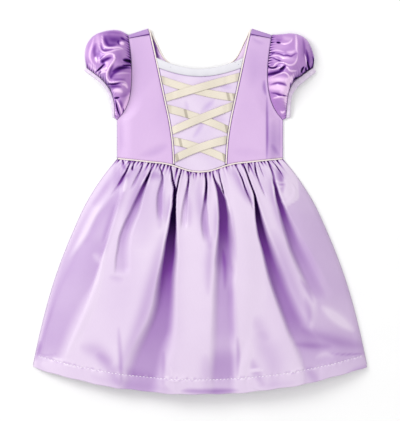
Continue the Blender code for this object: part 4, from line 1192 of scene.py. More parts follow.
@dataclass
class Bodice:
    """The bodice: side fronts, laced centre front with its band, and the two back halves."""

    finishes: Finishes
    # Height of the top edge at the centre line, and how much more it is at the princess seams.
    panel_top: Pair = (221.0, 14.0)
    band_top: Pair = (234.0, 18.5)
    knot_places: Path = ((-48.7, 236.5), (57.8, 244.5), (63.5, 241.0), (67.0, 246.0), (61.0, 248.5))
    # Creases of the side fronts and the centre front, with painted shade in troughs and painted highlights on
    # ridges.
    left_creases: tuple[Crease, ...] = creases_of(
        (((-104, 90), (-78, 95), (-52, 108)), -0.5, 10, 7, 0.1),
        (((-60, 230), (-78, 190), (-84, 150)), 0.4, 14, -0.05),
        (((-130, 160), (-131, 125), (-131, 90)), 0, 8, 0.08),
    )
    right_creases: tuple[Crease, ...] = creases_of(
        (((110.5, 190), (110.5, 155), (110.5, 115), (110, 80)), -0.8, 3, 1.6, 0.32),
        (((121, 150), (121, 110), (119, 70)), 0, 10, 0.15),
        (((134.5, 165), (135, 125), (135, 80)), 0, 5, 0.12),
        (((118, 110), (126, 98), (133, 88)), -0.6, 4, 0.12),
        (((106, 216), (106.5, 202), (109.5, 189)), -0.4, 3.5, 3, 0.22),
        (((88, 288), (97, 284), (104, 281)), 0.4, 1.4, 1.6, -0.25),
        (((86, 285), (97, 278), (108, 275)), -0.4, 3, 0.07),
        (((50, 100), (80, 96), (115, 92)), -0.3, 12, 0.06),
        (((84, 270), (88, 235), (84, 200)), 0, 12, 0.04),
    )
    panel_creases: tuple[Crease, ...] = creases_of(
        (((25, 184), (11.5, 171), (0, 161)), -0.4, 5, 0.12),
        (((8, 152.5), (1.5, 139.5), (-11.5, 119.5)), -0.4, 5, 4, 0.12),
        (((-24, 183), (-21, 172), (-20, 163)), -0.3, 3, 4, 0.08),
        (((30, 208), (42, 205), (54, 203)), -0.3, 5, 0.1),
        (((-40, 115), (-32, 106), (-20, 104)), -0.3, 4, 0.1),
        (((18, 152), (34, 150), (46, 147)), -0.2, 4, 0.06),
    )

    def edge_shade(self, distance: Grid) -> tuple[Grid, Grid]:
        """Dip and painted shade where cloth turns down into a seam, by the distance from it."""
        return 0.45 * (1 - smooth(distance / 2.2)), 0.45 * (1 - smooth(distance / 1.6))

    def side_front_plan(self, side: Side, share: Grid) -> Grid:
        """Plan points from the princess seam to the armhole and side seam, for the right side."""
        arm = straight(CUT.armhole_line(), np.linspace(0, 1, 66))
        arm_top = CUT.shoulder_outer - CUT.strip_at_arm - CUT.gap
        arm = np.concatenate([arm[arm[:, 1] < arm_top - 1], [[CUT.arm_x(arm_top), arm_top]]])
        low = np.linspace(CUT.waist_y(CUT.waist_half) + CUT.seam_half, CUT.underarm, 28)[:-1]
        side_seam = np.stack([np.full(len(low), CUT.waist_half), low], axis=-1)
        outer = np.concatenate([side_seam, CUT.set_in(side, arm)])
        inner_y = np.linspace(CUT.waist_y(CUT.princess[0][0]) + CUT.seam_half,
                              CUT.top - CUT.strip_at_neck - CUT.gap, len(outer))
        plan = between(np.stack([CUT.seam_x(inner_y) + CUT.seam_half, inner_y], axis=-1), outer, share)
        fade = np.linspace(1, 0, len(plan))[:, None] ** 2
        plan[..., 1] += (CUT.waist_y(plan[0, :, 0]) + CUT.seam_half - plan[0, :, 1]) * fade
        return plan

    def side_front(self, side: Side) -> None:
        """Makes one side front from waist to shoulder seam."""
        left = side is Side.LEFT
        share = np.linspace(0, 1, 62)
        plan = self.side_front_plan(side, share)
        x, y = plan[..., 0] * side.value, plan[..., 1]
        held = (smooth(share * 12) * smooth((1 - share) * 12))[None, :]
        waves = 0.3 * held * (np.sin(x / 26 + y / 31 + side.value) + np.sin(y / 47 - x / 19))
        lift, shade = creased(self.left_creases if left else self.right_creases, x, y)
        z = CUT.front_top(x, y) + waves + lift * held
        from_seam = np.linalg.norm(plan - plan[:, :1], axis=2)
        from_arm = np.linalg.norm(plan - plan[:, -1:], axis=2)
        from_shoulder = CUT.top - CUT.strip_at_neck - y - 4 * (x / 100 * side.value - 0.83) / 0.35
        # A painted highlight along the edge beside the armhole, then painted shade where the cloth turns into
        # each seam.
        shade = shade + 0.03 * np.sin(x / 31 + y / 53) - (0.3 if left else 0.16) * hill(from_arm - 2.2, 1.2)
        for distance, weight in ((from_seam, 1.2), (from_arm, 0.3 if left else 0.6), (from_shoulder, 0.8)):
            dip, dark = self.edge_shade(distance)
            z, shade = z - weight * dip, np.maximum(shade, weight * dark)
        made = cloth_object(f"side_front_satin_{side.word}", xyz(x, y, z),
                            self.finishes.bodice, shade)
        sew_in(made, "bodice_satin", f"side_front_{side.word}")

    def centre_grid(self, low: Grid, high: Grid, rows: int) -> tuple[Grid, Grid]:
        """Plan points between the princess seams, from one height curve to another."""
        across = np.linspace(-1, 1, len(low))[None, :]
        up = np.linspace(0, 1, rows)[:, None]
        y = low[None, :] * (1 - up) + high[None, :] * up
        return across * (CUT.seam_x(y) - CUT.seam_half), y

    def panel_z(self, x: Grid, y: Grid) -> Grid:
        """Height of the centre front's face, which lies in soft low waves."""
        waves = 0.25 * (np.sin(x / 17 + y / 23) + np.sin(y / 13 - x / 29))
        held = smooth((CUT.seam_x(y) - np.abs(x)) / 8 - 0.3)
        return CUT.front_top(x, y) - 0.25 + waves * held * 0.5

    def centre_front(self) -> None:
        """Makes the centre front and the white band with its tiny knots."""
        across = np.linspace(-1, 1, 81)
        bottom = CUT.waist_y(across * CUT.princess[0][0]) + CUT.seam_half
        panel_top = self.panel_top[0] + self.panel_top[1] * across ** 2
        x, y = self.centre_grid(bottom, panel_top, 96)
        dip, dark = self.edge_shade(CUT.seam_x(y) - CUT.seam_half - np.abs(x))
        # Painted shade along the seams and under the band.
        shade = dark + 0.14 * (1 - smooth((panel_top[None, :] - y) / 2.0))
        # The panel's soft creases, with painted shade in them.
        lift, crease_painted_shade = creased(self.panel_creases, x, y)
        shade = shade + crease_painted_shade + 0.02 * np.sin(x / 9 + np.sin(y / 14) * 2)
        panel = cloth_object("centre_front_satin", xyz(x, y, self.panel_z(x, y) - dip + lift),
                             self.finishes.panel, shade)
        sew_in(panel, "panel_satin", "centre_front")
        band_top = self.band_top[0] + self.band_top[1] * across ** 2
        x, y = self.centre_grid(panel_top + CUT.gap, band_top, 22)
        up = np.linspace(0, 1, 22)[:, None]
        z = CUT.front_under(x, y) + 1.8 - 0.9 * (2 * up - 1) ** 6 + 0.12 * np.sin(x / 3.1) * (1 - up)
        # Painted shade along both edges of the band, and most where it meets the panel.
        at_panel = 0.16 * (1 - up) * (1 + 0.5 * hill(np.abs(x) - 9, 7))
        band = cloth_object("neck_band_cotton", xyz(x, y, z), self.finishes.band,
                            0.12 * (2 * up - 1) ** 4 + at_panel, wall=1.0)
        sew_in(band, "band_cloth", "neck_band")
        knots = self.knots()

    def knots(self) -> Object:
        """Makes the few small knots of thread that show on the band."""
        pieces = []
        for x, y in self.knot_places:
            z = CUT.front_under(x, y) + 1.95
            line = np.array([[x - 0.6, y, z], [x + 0.6, y + 0.3, z]])
            pieces.append(Stitching("knot", line, self.finishes.knot, 1.1, 0, 0.8, 0.3).build())
        return sew_in(join_pieces("neck_band_knots", pieces), "band_cloth")

    def back_slab(self, share: Grid, radius: float) -> Grid:
        """Points of one back half as it lies flat on the floor, up to where its shoulder turns over."""
        centre_y = np.linspace(CUT.back_waist, CUT.back_neck_low, 6)
        neck = along(CUT.back_neck, np.linspace(0, 1, 12))[1:]
        neck[-1] -= 0, radius
        inner = np.concatenate([np.stack([np.full(6, CUT.gap / 2), centre_y], axis=-1), neck])
        side_y = np.linspace(CUT.waist_y(CUT.waist_half), CUT.underarm, 5)[:-1]
        arm = CUT.armhole_line()
        arm[-1] = CUT.arm_x(CUT.shoulder_outer - radius), CUT.shoulder_outer - radius
        outer = np.concatenate([np.stack([np.full(4, CUT.waist_half), side_y], axis=-1), arm])
        slab = between(inner, outer, share)
        fade = np.linspace(1, 0, len(slab))[:, None] ** 2
        slab[..., 1] += (CUT.back_waist_y(slab[0, :, 0]) - slab[0, :, 1]) * fade
        return np.pad(slab, ((0, 0), (0, 0), (0, 1)))

    def back_flap(self, start: Grid, share: Grid) -> Grid:
        """Points of the strip that lies over the front, from the fold down to the shoulder seam."""
        neck_y = CUT.top - CUT.strip_at_neck
        arm_y = CUT.shoulder_outer - CUT.strip_at_arm
        strip = between(np.array([[CUT.seam_x(neck_y) + CUT.seam_half, neck_y]]),
                        np.array([[CUT.arm_x(arm_y), arm_y]]), share)
        strip = np.concatenate([strip, CUT.front_top(strip[..., 0], strip[..., 1])[..., None]], axis=-1)
        t = np.linspace(0, 1, 9)[1:, None, None]
        flap = start[None] * (1 - t) + strip * t
        flap[..., 2] += 0.5 * np.sin(np.pi * t[..., 0]) - 0.5 * (t[..., 0] > 0.95)
        return flap

    def back(self, side: Side) -> None:
        """Makes one back half, flat on the floor, with its shoulder folded over to the front."""
        radius = CUT.front_top(CUT.back_neck[-1][0], CUT.top) / 2
        share = np.linspace(0, 1, 31)
        slab = self.back_slab(share, radius)
        turns = np.pi * np.arange(1, 9) / 8
        fold = np.stack([slab[-1] + (0, radius * math.sin(a), radius * (1 - math.cos(a))) for a in turns])
        points = np.concatenate([slab, fold, self.back_flap(fold[-1], share)])
        inside = CUT.seam_x(np.minimum(points[..., 1], CUT.top)) - points[..., 0]
        # Both halves are paler, the left one with painted shade beside the front's edge, which shades it; the
        # strip over the front and its seam carry painted shade too.
        shade = np.full(inside.shape, -0.2)
        if side is Side.LEFT:
            shade = 0.7 * (1 - smooth((inside - 3.5) / 3.5)) - 0.15
        shade[len(slab) + 3:] = 0.19
        shade[-2:] = 0.5
        made = cloth_object(f"back_bodice_satin_{side.word}", points * (side.value, 1, 1),
                            self.finishes.bodice, shade, faces_up=False, wall=1.1)
        sew_in(made, "bodice_satin", f"back_bodice_{side.word}")

    def build(self) -> None:
        """Makes every panel of the bodice."""
        for side in Side:
            self.back(side)
            self.side_front(side)
        self.centre_front()


def join_pieces(name: str, pieces: list[Object]) -> Object:
    """Joins meshes of one material into one object."""
    with bpy.context.temp_override(active_object=pieces[0], selected_editable_objects=pieces):
        bpy.ops.object.join()
    pieces[0].name = name
    pieces[0].data.name = name
    return pieces[0]


@dataclass
class Piping:
    """The gold cords in the princess seams, the waist seam and the back neckline."""

    finishes: Finishes
    proud: float = 0.4

    def height(self, x: Grid, y: Grid) -> Grid:
        """Height of a cord's middle over a seam of the front."""
        return CUT.front_under(x, y) + CUT.bodice_wall / 2 + self.proud

    def cord(self, name: str, x: Grid, y: Grid, z: Grid, radius: float, node: str) -> None:
        """Makes one cord and fastens it."""
        made = cord_object(name, xyz(x, y, z), radius, self.finishes.piping)
        sew_in(made, "gold_piping", node)

    def princess(self, side: Side) -> None:
        """Makes the cord in one princess seam."""
        start = CUT.waist_y(CUT.princess[0][0]) + 2 * CUT.seam_half
        y = np.linspace(start, CUT.top - CUT.piping_radius, 240)
        x = CUT.seam_x(y)
        self.cord(f"princess_cord_{side.word}", side.value * x, y, self.height(x, y), CUT.piping_radius,
                  f"princess_piping_{side.word}")

    def waist(self) -> None:
        """Makes the cord in the waist seam, which stays above the back at both ends."""
        x = np.linspace(-1, 1, 300) * (CUT.waist_half - CUT.piping_radius)
        y = CUT.waist_y(x)
        z = np.maximum(self.height(x, y), CUT.bodice_wall + CUT.gap + CUT.piping_radius)
        self.cord("waist_cord", x, y, z, CUT.piping_radius, "waist_piping")

    def back_neck(self) -> None:
        """Makes the cord along the back neckline, just inside it."""
        half = along(CUT.back_neck, np.linspace(0, 1, 80))[:-2]
        step = np.gradient(half, axis=0)
        inwards = np.stack([-step[:, 1], step[:, 0]], axis=-1) / np.linalg.norm(step, axis=1)[:, None]
        right = half + inwards * (CUT.neck_piping_radius + CUT.gap)
        right[0, 0] = 0
        x, y = np.concatenate([(right * (-1, 1))[:0:-1], right]).T
        self.cord("back_neck_cord", x, y, np.full(len(x), CUT.neck_piping_radius), CUT.neck_piping_radius,
                  "back_neck_piping")

    def build(self) -> None:
        """Makes the four cords."""
        for side in Side:
            self.princess(side)
        self.waist()
        self.back_neck()


@dataclass(frozen=True)
class RibbonRow:
    """One lacing ribbon: the side where it starts high, its heights at both seams and its upward bow."""

    name: str
    high_side: int
    top: float
    bottom: float
    bow: float
    over: int
    tacks: tuple[float, ...] = ()


@dataclass
class Lacing:
    """The six gold ribbons that cross over the centre front."""

    finishes: Finishes
    bodice: Bodice
    width: float = 12.7
    wall: float = 0.7
    # How far a ribbon's face lies above the panel, and how much further where it crosses over another.
    face: float = 1.15
    over_by: float = 1.2
    over_half: float = 37.0
    over_slope: float = 9.0
    end_inside: float = 2.2
    # A tack pinches the ribbon down and paints shade into the pinch.
    tack_half: float = 1.6
    tack_deep: float = 0.3
    tack_dark: float = 0.36
    ribbons: tuple[RibbonRow, ...] = (
        RibbonRow("top_under", -1, 215.3, 186, -4, 0, (47.0, 57.0)),
        RibbonRow("top_over", 1, 220, 184, 1, 1),
        RibbonRow("middle_under", -1, 167.5, 131, 3, 0, (-23.0, 44.5)),
        RibbonRow("middle_over", 1, 171.5, 129.5, 1, 1),
        RibbonRow("low_under", -1, 114.7, 84.5, 3.5, 0, (-32.0, 40.5)),
        RibbonRow("low_over", 1, 116.5, 84.5, 3.5, 1, (-38.0,)),
    )

    def ribbon(self, row: RibbonRow) -> None:
        """Makes one ribbon.

        Its middle line is straight from seam to seam plus the bow, a parabola that is highest in the
        middle. It lies on the panel, or a wall and a gap higher where it crosses over another, and it
        is pinched where it is tacked down.
        """
        lanes = np.linspace(-1, 1, 15)
        edges = lanes * self.width / 2
        reach = CUT.seam_x((row.top + row.bottom) / 2)
        slope = row.high_side * (row.top - row.bottom) / 2 / reach
        middle = (row.top + row.bottom) / 2

        def height(x: Grid) -> Grid:
            """Height of each lane of the ribbon at a distance from the centre line."""
            return middle + slope * x + row.bow * (1 - (x / reach) ** 2) + edges * math.hypot(1, slope)

        def end(way: int) -> Grid:
            """Where each lane meets the seam on one side."""
            x = np.full(len(edges), way * reach)
            for _ in range(8):
                x = way * (CUT.seam_x(height(x)) - self.end_inside)
            return x

        share = np.linspace(0, 1, 130)[:, None]
        x = end(-1) * (1 - share) + end(1) * share
        y = height(x)
        lift = row.over * self.over_by * (1 - smooth((np.abs(x) - self.over_half) / self.over_slope))
        z = self.bodice.panel_z(x, y) + CUT.gap + self.face + lift
        z = z - 0.25 * lanes[None, :] ** 8 + 0.1 * np.sin(x / 7 + row.top) * lanes[None, :]
        # Painted shade along the turned-down edges, a faint wave of tone, and painted shade at the tacks and
        # towards the ends.
        shade = 0.08 * lanes[None, :] ** 10 + 0.04 * (1 + np.sin(x / 11 + row.top))
        for tack in row.tacks:
            pinch = 1 - smooth((np.abs(x - tack + lanes[None, :] * 1.6) - self.tack_half) / 1.8)
            z, shade = z - self.tack_deep * pinch, shade + self.tack_dark * pinch
        ends = 1 - smooth((reach - np.abs(x)) / 5 - 0.2)
        made = cloth_object(f"lacing_{row.name}", xyz(x, y, z), self.finishes.ribbon,
                            shade + 0.18 * ends, wall=self.wall)
        sew_in(made, "gold_ribbon", f"ribbon_{row.name}")

    def build(self) -> None:
        """Makes the six ribbons."""
        for row in self.ribbons:
            self.ribbon(row)


@dataclass(frozen=True)
class SleeveShape:
    """The outlines and creases of one sleeve, for the right side of the dress."""

    cap: Path
    seam: Path
    edge: Path
    creases: tuple[Crease, ...]


# The left sleeve's creases: ridges with painted highlights, troughs and patches with painted shade.
LEFT_CREASES = creases_of(
    (((161.5, 291), (161, 284.5), (160, 276), (157.5, 269.5), (151.5, 266.5), (142.5, 266.5), (132.5, 267.5),
      (124.5, 264.5)), 3, 1.5, 1.7, -0.4),
    (((166, 279.5), (165.5, 270.5), (162, 262), (155.5, 258), (148.5, 259.5), (137.5, 263), (125.5, 265.5)),
      3, 1.5, -0.26),
    (((168, 244), (163, 247), (157.5, 251.5), (152.5, 255), (146.5, 256.5), (141.5, 256), (139.5, 251.5),
      (140.5, 245.5), (145, 238.5), (150, 230), (152.5, 221), (151.5, 214), (146.5, 209.5), (139.5, 210),
      (131, 212), (123.5, 211), (118.5, 207)), 3.5, 1.4, -0.45),
    (((174.5, 286.5), (177.5, 273), (181, 261.5), (181, 250.5), (177, 242.5), (169.5, 235)), 1.5, 1.9, -0.22),
    (((169, 291), (168, 279.5), (170.5, 266)), 0, 4.5, -0.12),
    (((187, 276), (188, 263), (187, 250)), 0, 3, -0.05),
    (((132.5, 275), (129.5, 275.5), (124.5, 273.5)), 2, 2.6, -0.5),
    (((172.5, 253), (170.5, 246.5), (168, 241.5)), 2, 1.4, -0.34),
    (((167, 252), (165.5, 246.5), (165, 240)), 1.5, 1.1, -0.3),
    (((185, 243.5), (175.5, 233.5), (162, 219.5)), 0, 3.4, -0.26),
    (((170.5, 276), (173.5, 261.5), (172, 251.5)), 0, 3.6, 0.26),
    (((162.5, 276), (159, 263.5), (141, 264.5)), -1, 2, 0.3),
    (((158, 291), (155.5, 279.5), (150.5, 271.5), (136, 272)), -1, 3, 3.6, 0.34),
    (((155.5, 289), (144, 281), (124.5, 284.5)), -1, 8, 0.34),
    (((167, 291.5), (144, 294), (123, 291)), 0, 3, 0.16),
    (((133.5, 281), (134.5, 276), (132, 271)), -1, 1.3, 0.3),
    (((131, 286), (124.5, 281.5), (117.5, 279.5)), -1, 2.4, 0.34),
    (((163, 241.5), (154, 247), (144, 251)), -1.5, 2.6, 0.5),
    (((167, 259.5), (162, 250), (159, 238.5)), 0, 4, 0.16),
    (((154, 241.5), (147.5, 243.5), (144, 249)), 0, 2.4, -0.1),
    (((127, 247), (119.5, 246.5), (110, 244.5)), -4, 2.7, 2.9, 1.2),
    (((130, 242.5), (121, 242), (113, 243)), 0, 2, 0.14),
    (((128.5, 237.5), (119.5, 238.5), (110, 240.5)), -3, 0.9, 1.2),
    (((144, 226), (137.5, 231), (130.5, 234), (121, 235), (111, 235)), -3, 2.7, 2.2, 0.52),
    (((147.5, 214), (136, 223.5), (111.5, 228.5)), -1, 5, 4, 0.1),
    (((147.5, 215.5), (139.5, 225.5), (131, 231), (119.5, 235)), 0, 3, 0.36),
    (((113, 246.5), (110, 218.5), (112, 189)), 0, 3.4, -0.26),
    (((141, 240), (146, 230), (147.5, 220.5), (144, 214)), -1, 2, 4, 0.3),
    (((144, 215.5), (132.5, 214), (121, 215.5)), 0, 3, 0.2),
    (((177, 250), (167, 258), (162, 266)), 0, 4, 0.12),
    (((142.5, 221), (131, 224.5), (113, 226)), 1, 1.8, -0.22),
    (((137.5, 263), (132.5, 253), (132.5, 240)), 0, 6, 0.1),
    (((173, 227.5), (165.5, 232), (156, 239.5)), -3, 1.4, 1.3),
    (((172, 229), (164.5, 234.5), (160.5, 238.5)), 1, 1, -0.2),
    (((162, 246.5), (158, 241.5), (154, 236)), 0, 2.6, 0.2),
    (((164, 228.5), (157.5, 230.5), (151.5, 233)), 1, 2.2, -0.42),
    (((164.5, 224.5), (159, 226.5), (151.5, 226.5)), 2, 1.1, -0.45),
    (((167, 222), (166, 225.5), (161, 228.5)), -1.5, 0.9, 0.6),
    (((155.5, 208.5), (147.5, 207.5), (137.5, 207.5), (129.5, 209)), -3, 1.1, 0.9),
    (((154, 202.5), (139.5, 203.5), (128, 202.5)), 0, 3, 0.34),
    (((144, 196), (134.5, 197), (126, 194)), 1.5, 3.6, -0.32),
    (((128.5, 206.5), (123, 206.5), (118.5, 200.5)), 1.2, 2, -0.34),
    (((134.5, 186.5), (126, 187.5), (116.5, 193)), -1, 2, 0.1),
    (((114.5, 196), (118, 181), (123, 169.5), (128, 159.5)), 0, 4.6, -0.4),
    (((131, 188.5), (121, 193.5), (112, 200.5)), 0, 3, 0.06),
    (((142, 185.5), (138.5, 185), (132, 185.5)), -3, 1.3, 1.2),
    (((139, 182.5), (137.5, 173), (135.5, 164.5), (132, 155)), -3, 1.2, 0.95),
    (((138.5, 183.5), (133.5, 175.5), (130.5, 166.5), (129.5, 156.5)), 2.5, 1.2, -0.45),
    (((132, 182.5), (129.5, 174.5), (128, 166.5)), 0, 2.4, 0.26),
    (((126.5, 169.5), (126.5, 163.5), (128, 158)), -2.5, 1, 0.8),
    (((143, 179.5), (141, 166.5), (137.5, 155)), 1.2, 1.2, -0.3),
)
LEFT_SLEEVE = SleeveShape(
    cap=((119, 290.5), (132, 297.5), (146.5, 298.5), (161.5, 295.5), (172, 291.5), (182, 283), (188.5, 271),
         (190.5, 256), (188, 237)),
    seam=((188, 237), (179, 230), (162, 216.5), (148.5, 199), (142, 180), (140.6, 153)),
    edge=((191.9, 231.5), (183.5, 225.5), (166.7, 212.5), (153.3, 196), (146.8, 179), (145.2, 154)),
    creases=LEFT_CREASES,
)
# The right sleeve's creases, likewise with painted highlights and painted shade.
RIGHT_CREASES = creases_of(
    (((125.5, 277.5), (129.5, 276.5), (133, 275.5)), -2, 1.3, 1.3),
    (((124.5, 284.5), (129.5, 281), (136, 281)), -1, 3, 0.12),
    (((136, 287.5), (144, 282.5), (154, 284.5)), 0, 4, -0.1),
    (((129.5, 276), (137, 274), (145, 275), (150.5, 279.5), (153.5, 284.5)), 1.5, 1.2, -0.3),
    (((95, 269.5), (121, 269.5), (147.5, 269.5)), 0, 8, -0.06),
    (((141, 260.5), (149, 259), (157.5, 263)), 0, 2.4, -0.2),
    (((158, 291), (158.5, 276), (158.5, 263), (160.5, 256.5)), 1.6, 1.6, -0.32),
    (((117.5, 257.5), (121, 259.5), (124.5, 259)), -2, 1, 0.6),
    (((123, 259), (129.5, 257.5), (136, 254.5), (143.5, 254), (149, 252.5), (154, 255.5), (160.5, 258.5)),
      -2, 1, 0.5),
    (((111.5, 262.5), (126, 263.5), (139.5, 259.5)), 1, 1.2, -0.2),
    (((101.5, 251.5), (131, 250), (159, 246.5)), 0, 5, -0.12),
    (((112.5, 255), (124.5, 255), (136, 250.5), (147.5, 249)), 1.2, 1.1, -0.3),
    (((113, 252), (119.5, 251), (127, 247), (133.5, 244.5), (139.5, 241.5)), -2, 0.9, 0.6),
    (((124.5, 249.5), (132.5, 245.5), (139.5, 240.5), (146, 237.5), (153, 239), (158, 245.5), (160, 256.5)),
      2, 1.1, -0.38),
    (((112, 245), (114.5, 239), (120, 236), (123.5, 240), (129.5, 242.5), (137.5, 241), (144, 237)),
      2.6, 1.1, -0.48),
    (((110, 238), (116.5, 235), (122, 234), (128, 237.5)), -3, 1.2, 1.2),
    (((113.5, 232), (124.5, 232), (132.5, 234.5), (138.5, 238)), 2, 1, -0.42),
    (((101.5, 224.5), (116.5, 224.5), (129.5, 227), (141, 235)), -3, 2.8, 2.6, 0.66),
    (((130, 230), (136, 234), (140.5, 237.5)), -3, 1.6, 0.8),
    (((139.5, 231), (142.5, 233.5), (146.5, 229), (159, 229)), 2, 1.2, -0.5),
    (((139.5, 212), (149, 215.5), (160.5, 217)), 0, 5, -0.2),
    (((155.5, 225.5), (148, 212), (143, 197.5), (141, 174.5)), 0, 4, -0.3),
    (((108, 207.5), (110.5, 197.5), (113, 184.5)), 0, 2.6, 0.16),
    (((114, 251.5), (113.5, 240), (113, 227)), 0, 2.6, -0.2),
    (((123, 241.5), (132.5, 242.5), (141, 238.5)), 0, 2.4, 0.12),
    (((149, 217), (155.5, 219.5), (162, 222)), 0, 2, 0.08),
    (((141, 214), (147.5, 200.5), (149, 186)), 0, 4, -0.24),
    (((112, 217), (121, 220.5), (131, 224), (138.5, 225.5), (144, 222), (148, 215.5), (151.5, 208)),
      2.4, 1.2, -0.34),
    (((92, 213), (128, 214.5), (157.5, 212)), 0, 4.6, -0.25),
    (((101.5, 203), (134.5, 201.5), (164, 194)), 0, 5.5, -0.34),
    (((114.5, 206.5), (126, 209), (136, 207.5), (147.5, 201.5)), -2, 1.6, 2.4, 0.46),
    (((147, 210), (149, 205.5), (148.5, 199)), -1.5, 1, 0.8),
    (((115.5, 194), (124.5, 192), (132.5, 189.5), (144, 188.5)), -3, 1.6, 1.2, 0.42),
    (((131, 196), (139.5, 186), (142.5, 168)), 0, 4, -0.16),
    (((135.5, 189), (138.5, 188.5), (142.5, 188.5)), -1, 0.8, 0.7),
    (((119, 184.5), (131, 186.5), (146, 185.5)), 2, 1.3, -0.5),
    (((129.5, 194), (144, 197.5), (150.5, 187.5), (147.5, 161.5)), 0, 4.5, -0.14),
    (((123, 181), (132.5, 171), (141, 159.5)), -1, 5, 0.04),
    (((132.5, 164.5), (136, 161.5), (141, 165.5)), 1, 1.6, -0.4),
    (((169.5, 286), (171.5, 269.5), (172.5, 253), (177, 240)), -2, 2.4, 3.2, 0.2),
    (((123.5, 263), (129, 251.5), (130.5, 237)), 0, 3, 0.13),
    (((116.5, 282.5), (114.5, 263), (112.5, 241.5)), 0, 2.6, -0.14),
    (((174.5, 266), (177.5, 250), (179, 233.5)), -2, 2.4, 0.46),
    (((176, 246.5), (177.5, 240.5), (178.5, 235)), -2, 1.2, 1),
    (((171.5, 258), (173.5, 250), (175.5, 238.5)), 2, 1, -0.5),
    (((180, 286), (184.5, 263), (183, 233.5)), -1, 4.5, 0.16),
    (((186, 255), (188, 245), (186, 233.5)), -1, 1.4, 0.8),
    (((162, 282.5), (165.5, 263), (166.5, 240)), 0, 3, 0.04),
    (((166, 225.5), (168, 232), (171.5, 237)), -3, 1.5, 1.3),
    (((167, 223), (173, 226.5), (178.5, 232)), -3, 1.7, 1.3),
    (((173, 236), (175, 231), (177, 227)), -2, 1.3, 1.2),
    (((179, 240), (180, 233.5), (179, 228.5)), -2, 1.5, 1.2),
    (((174.5, 227.5), (182, 232), (190, 238.5)), -3, 1.9, 1.3),
    (((153, 212), (156.5, 217.5), (162, 218.5), (167, 221), (173.5, 227.5)), -3, 1.5, 1.3),
)
RIGHT_SLEEVE = SleeveShape(
    cap=((119, 290.5), (134, 291.5), (151, 293), (163, 291), (175, 284), (184.5, 268), (189, 251),
         (187.5, 237)),
    seam=((187.5, 237), (168, 223), (153.5, 211), (146, 194), (143.5, 177), (142, 152.5)),
    edge=((192, 229.5), (173.7, 214.7), (159.5, 202), (152, 189), (149.8, 175), (149, 153.5)),
    creases=RIGHT_CREASES,
)


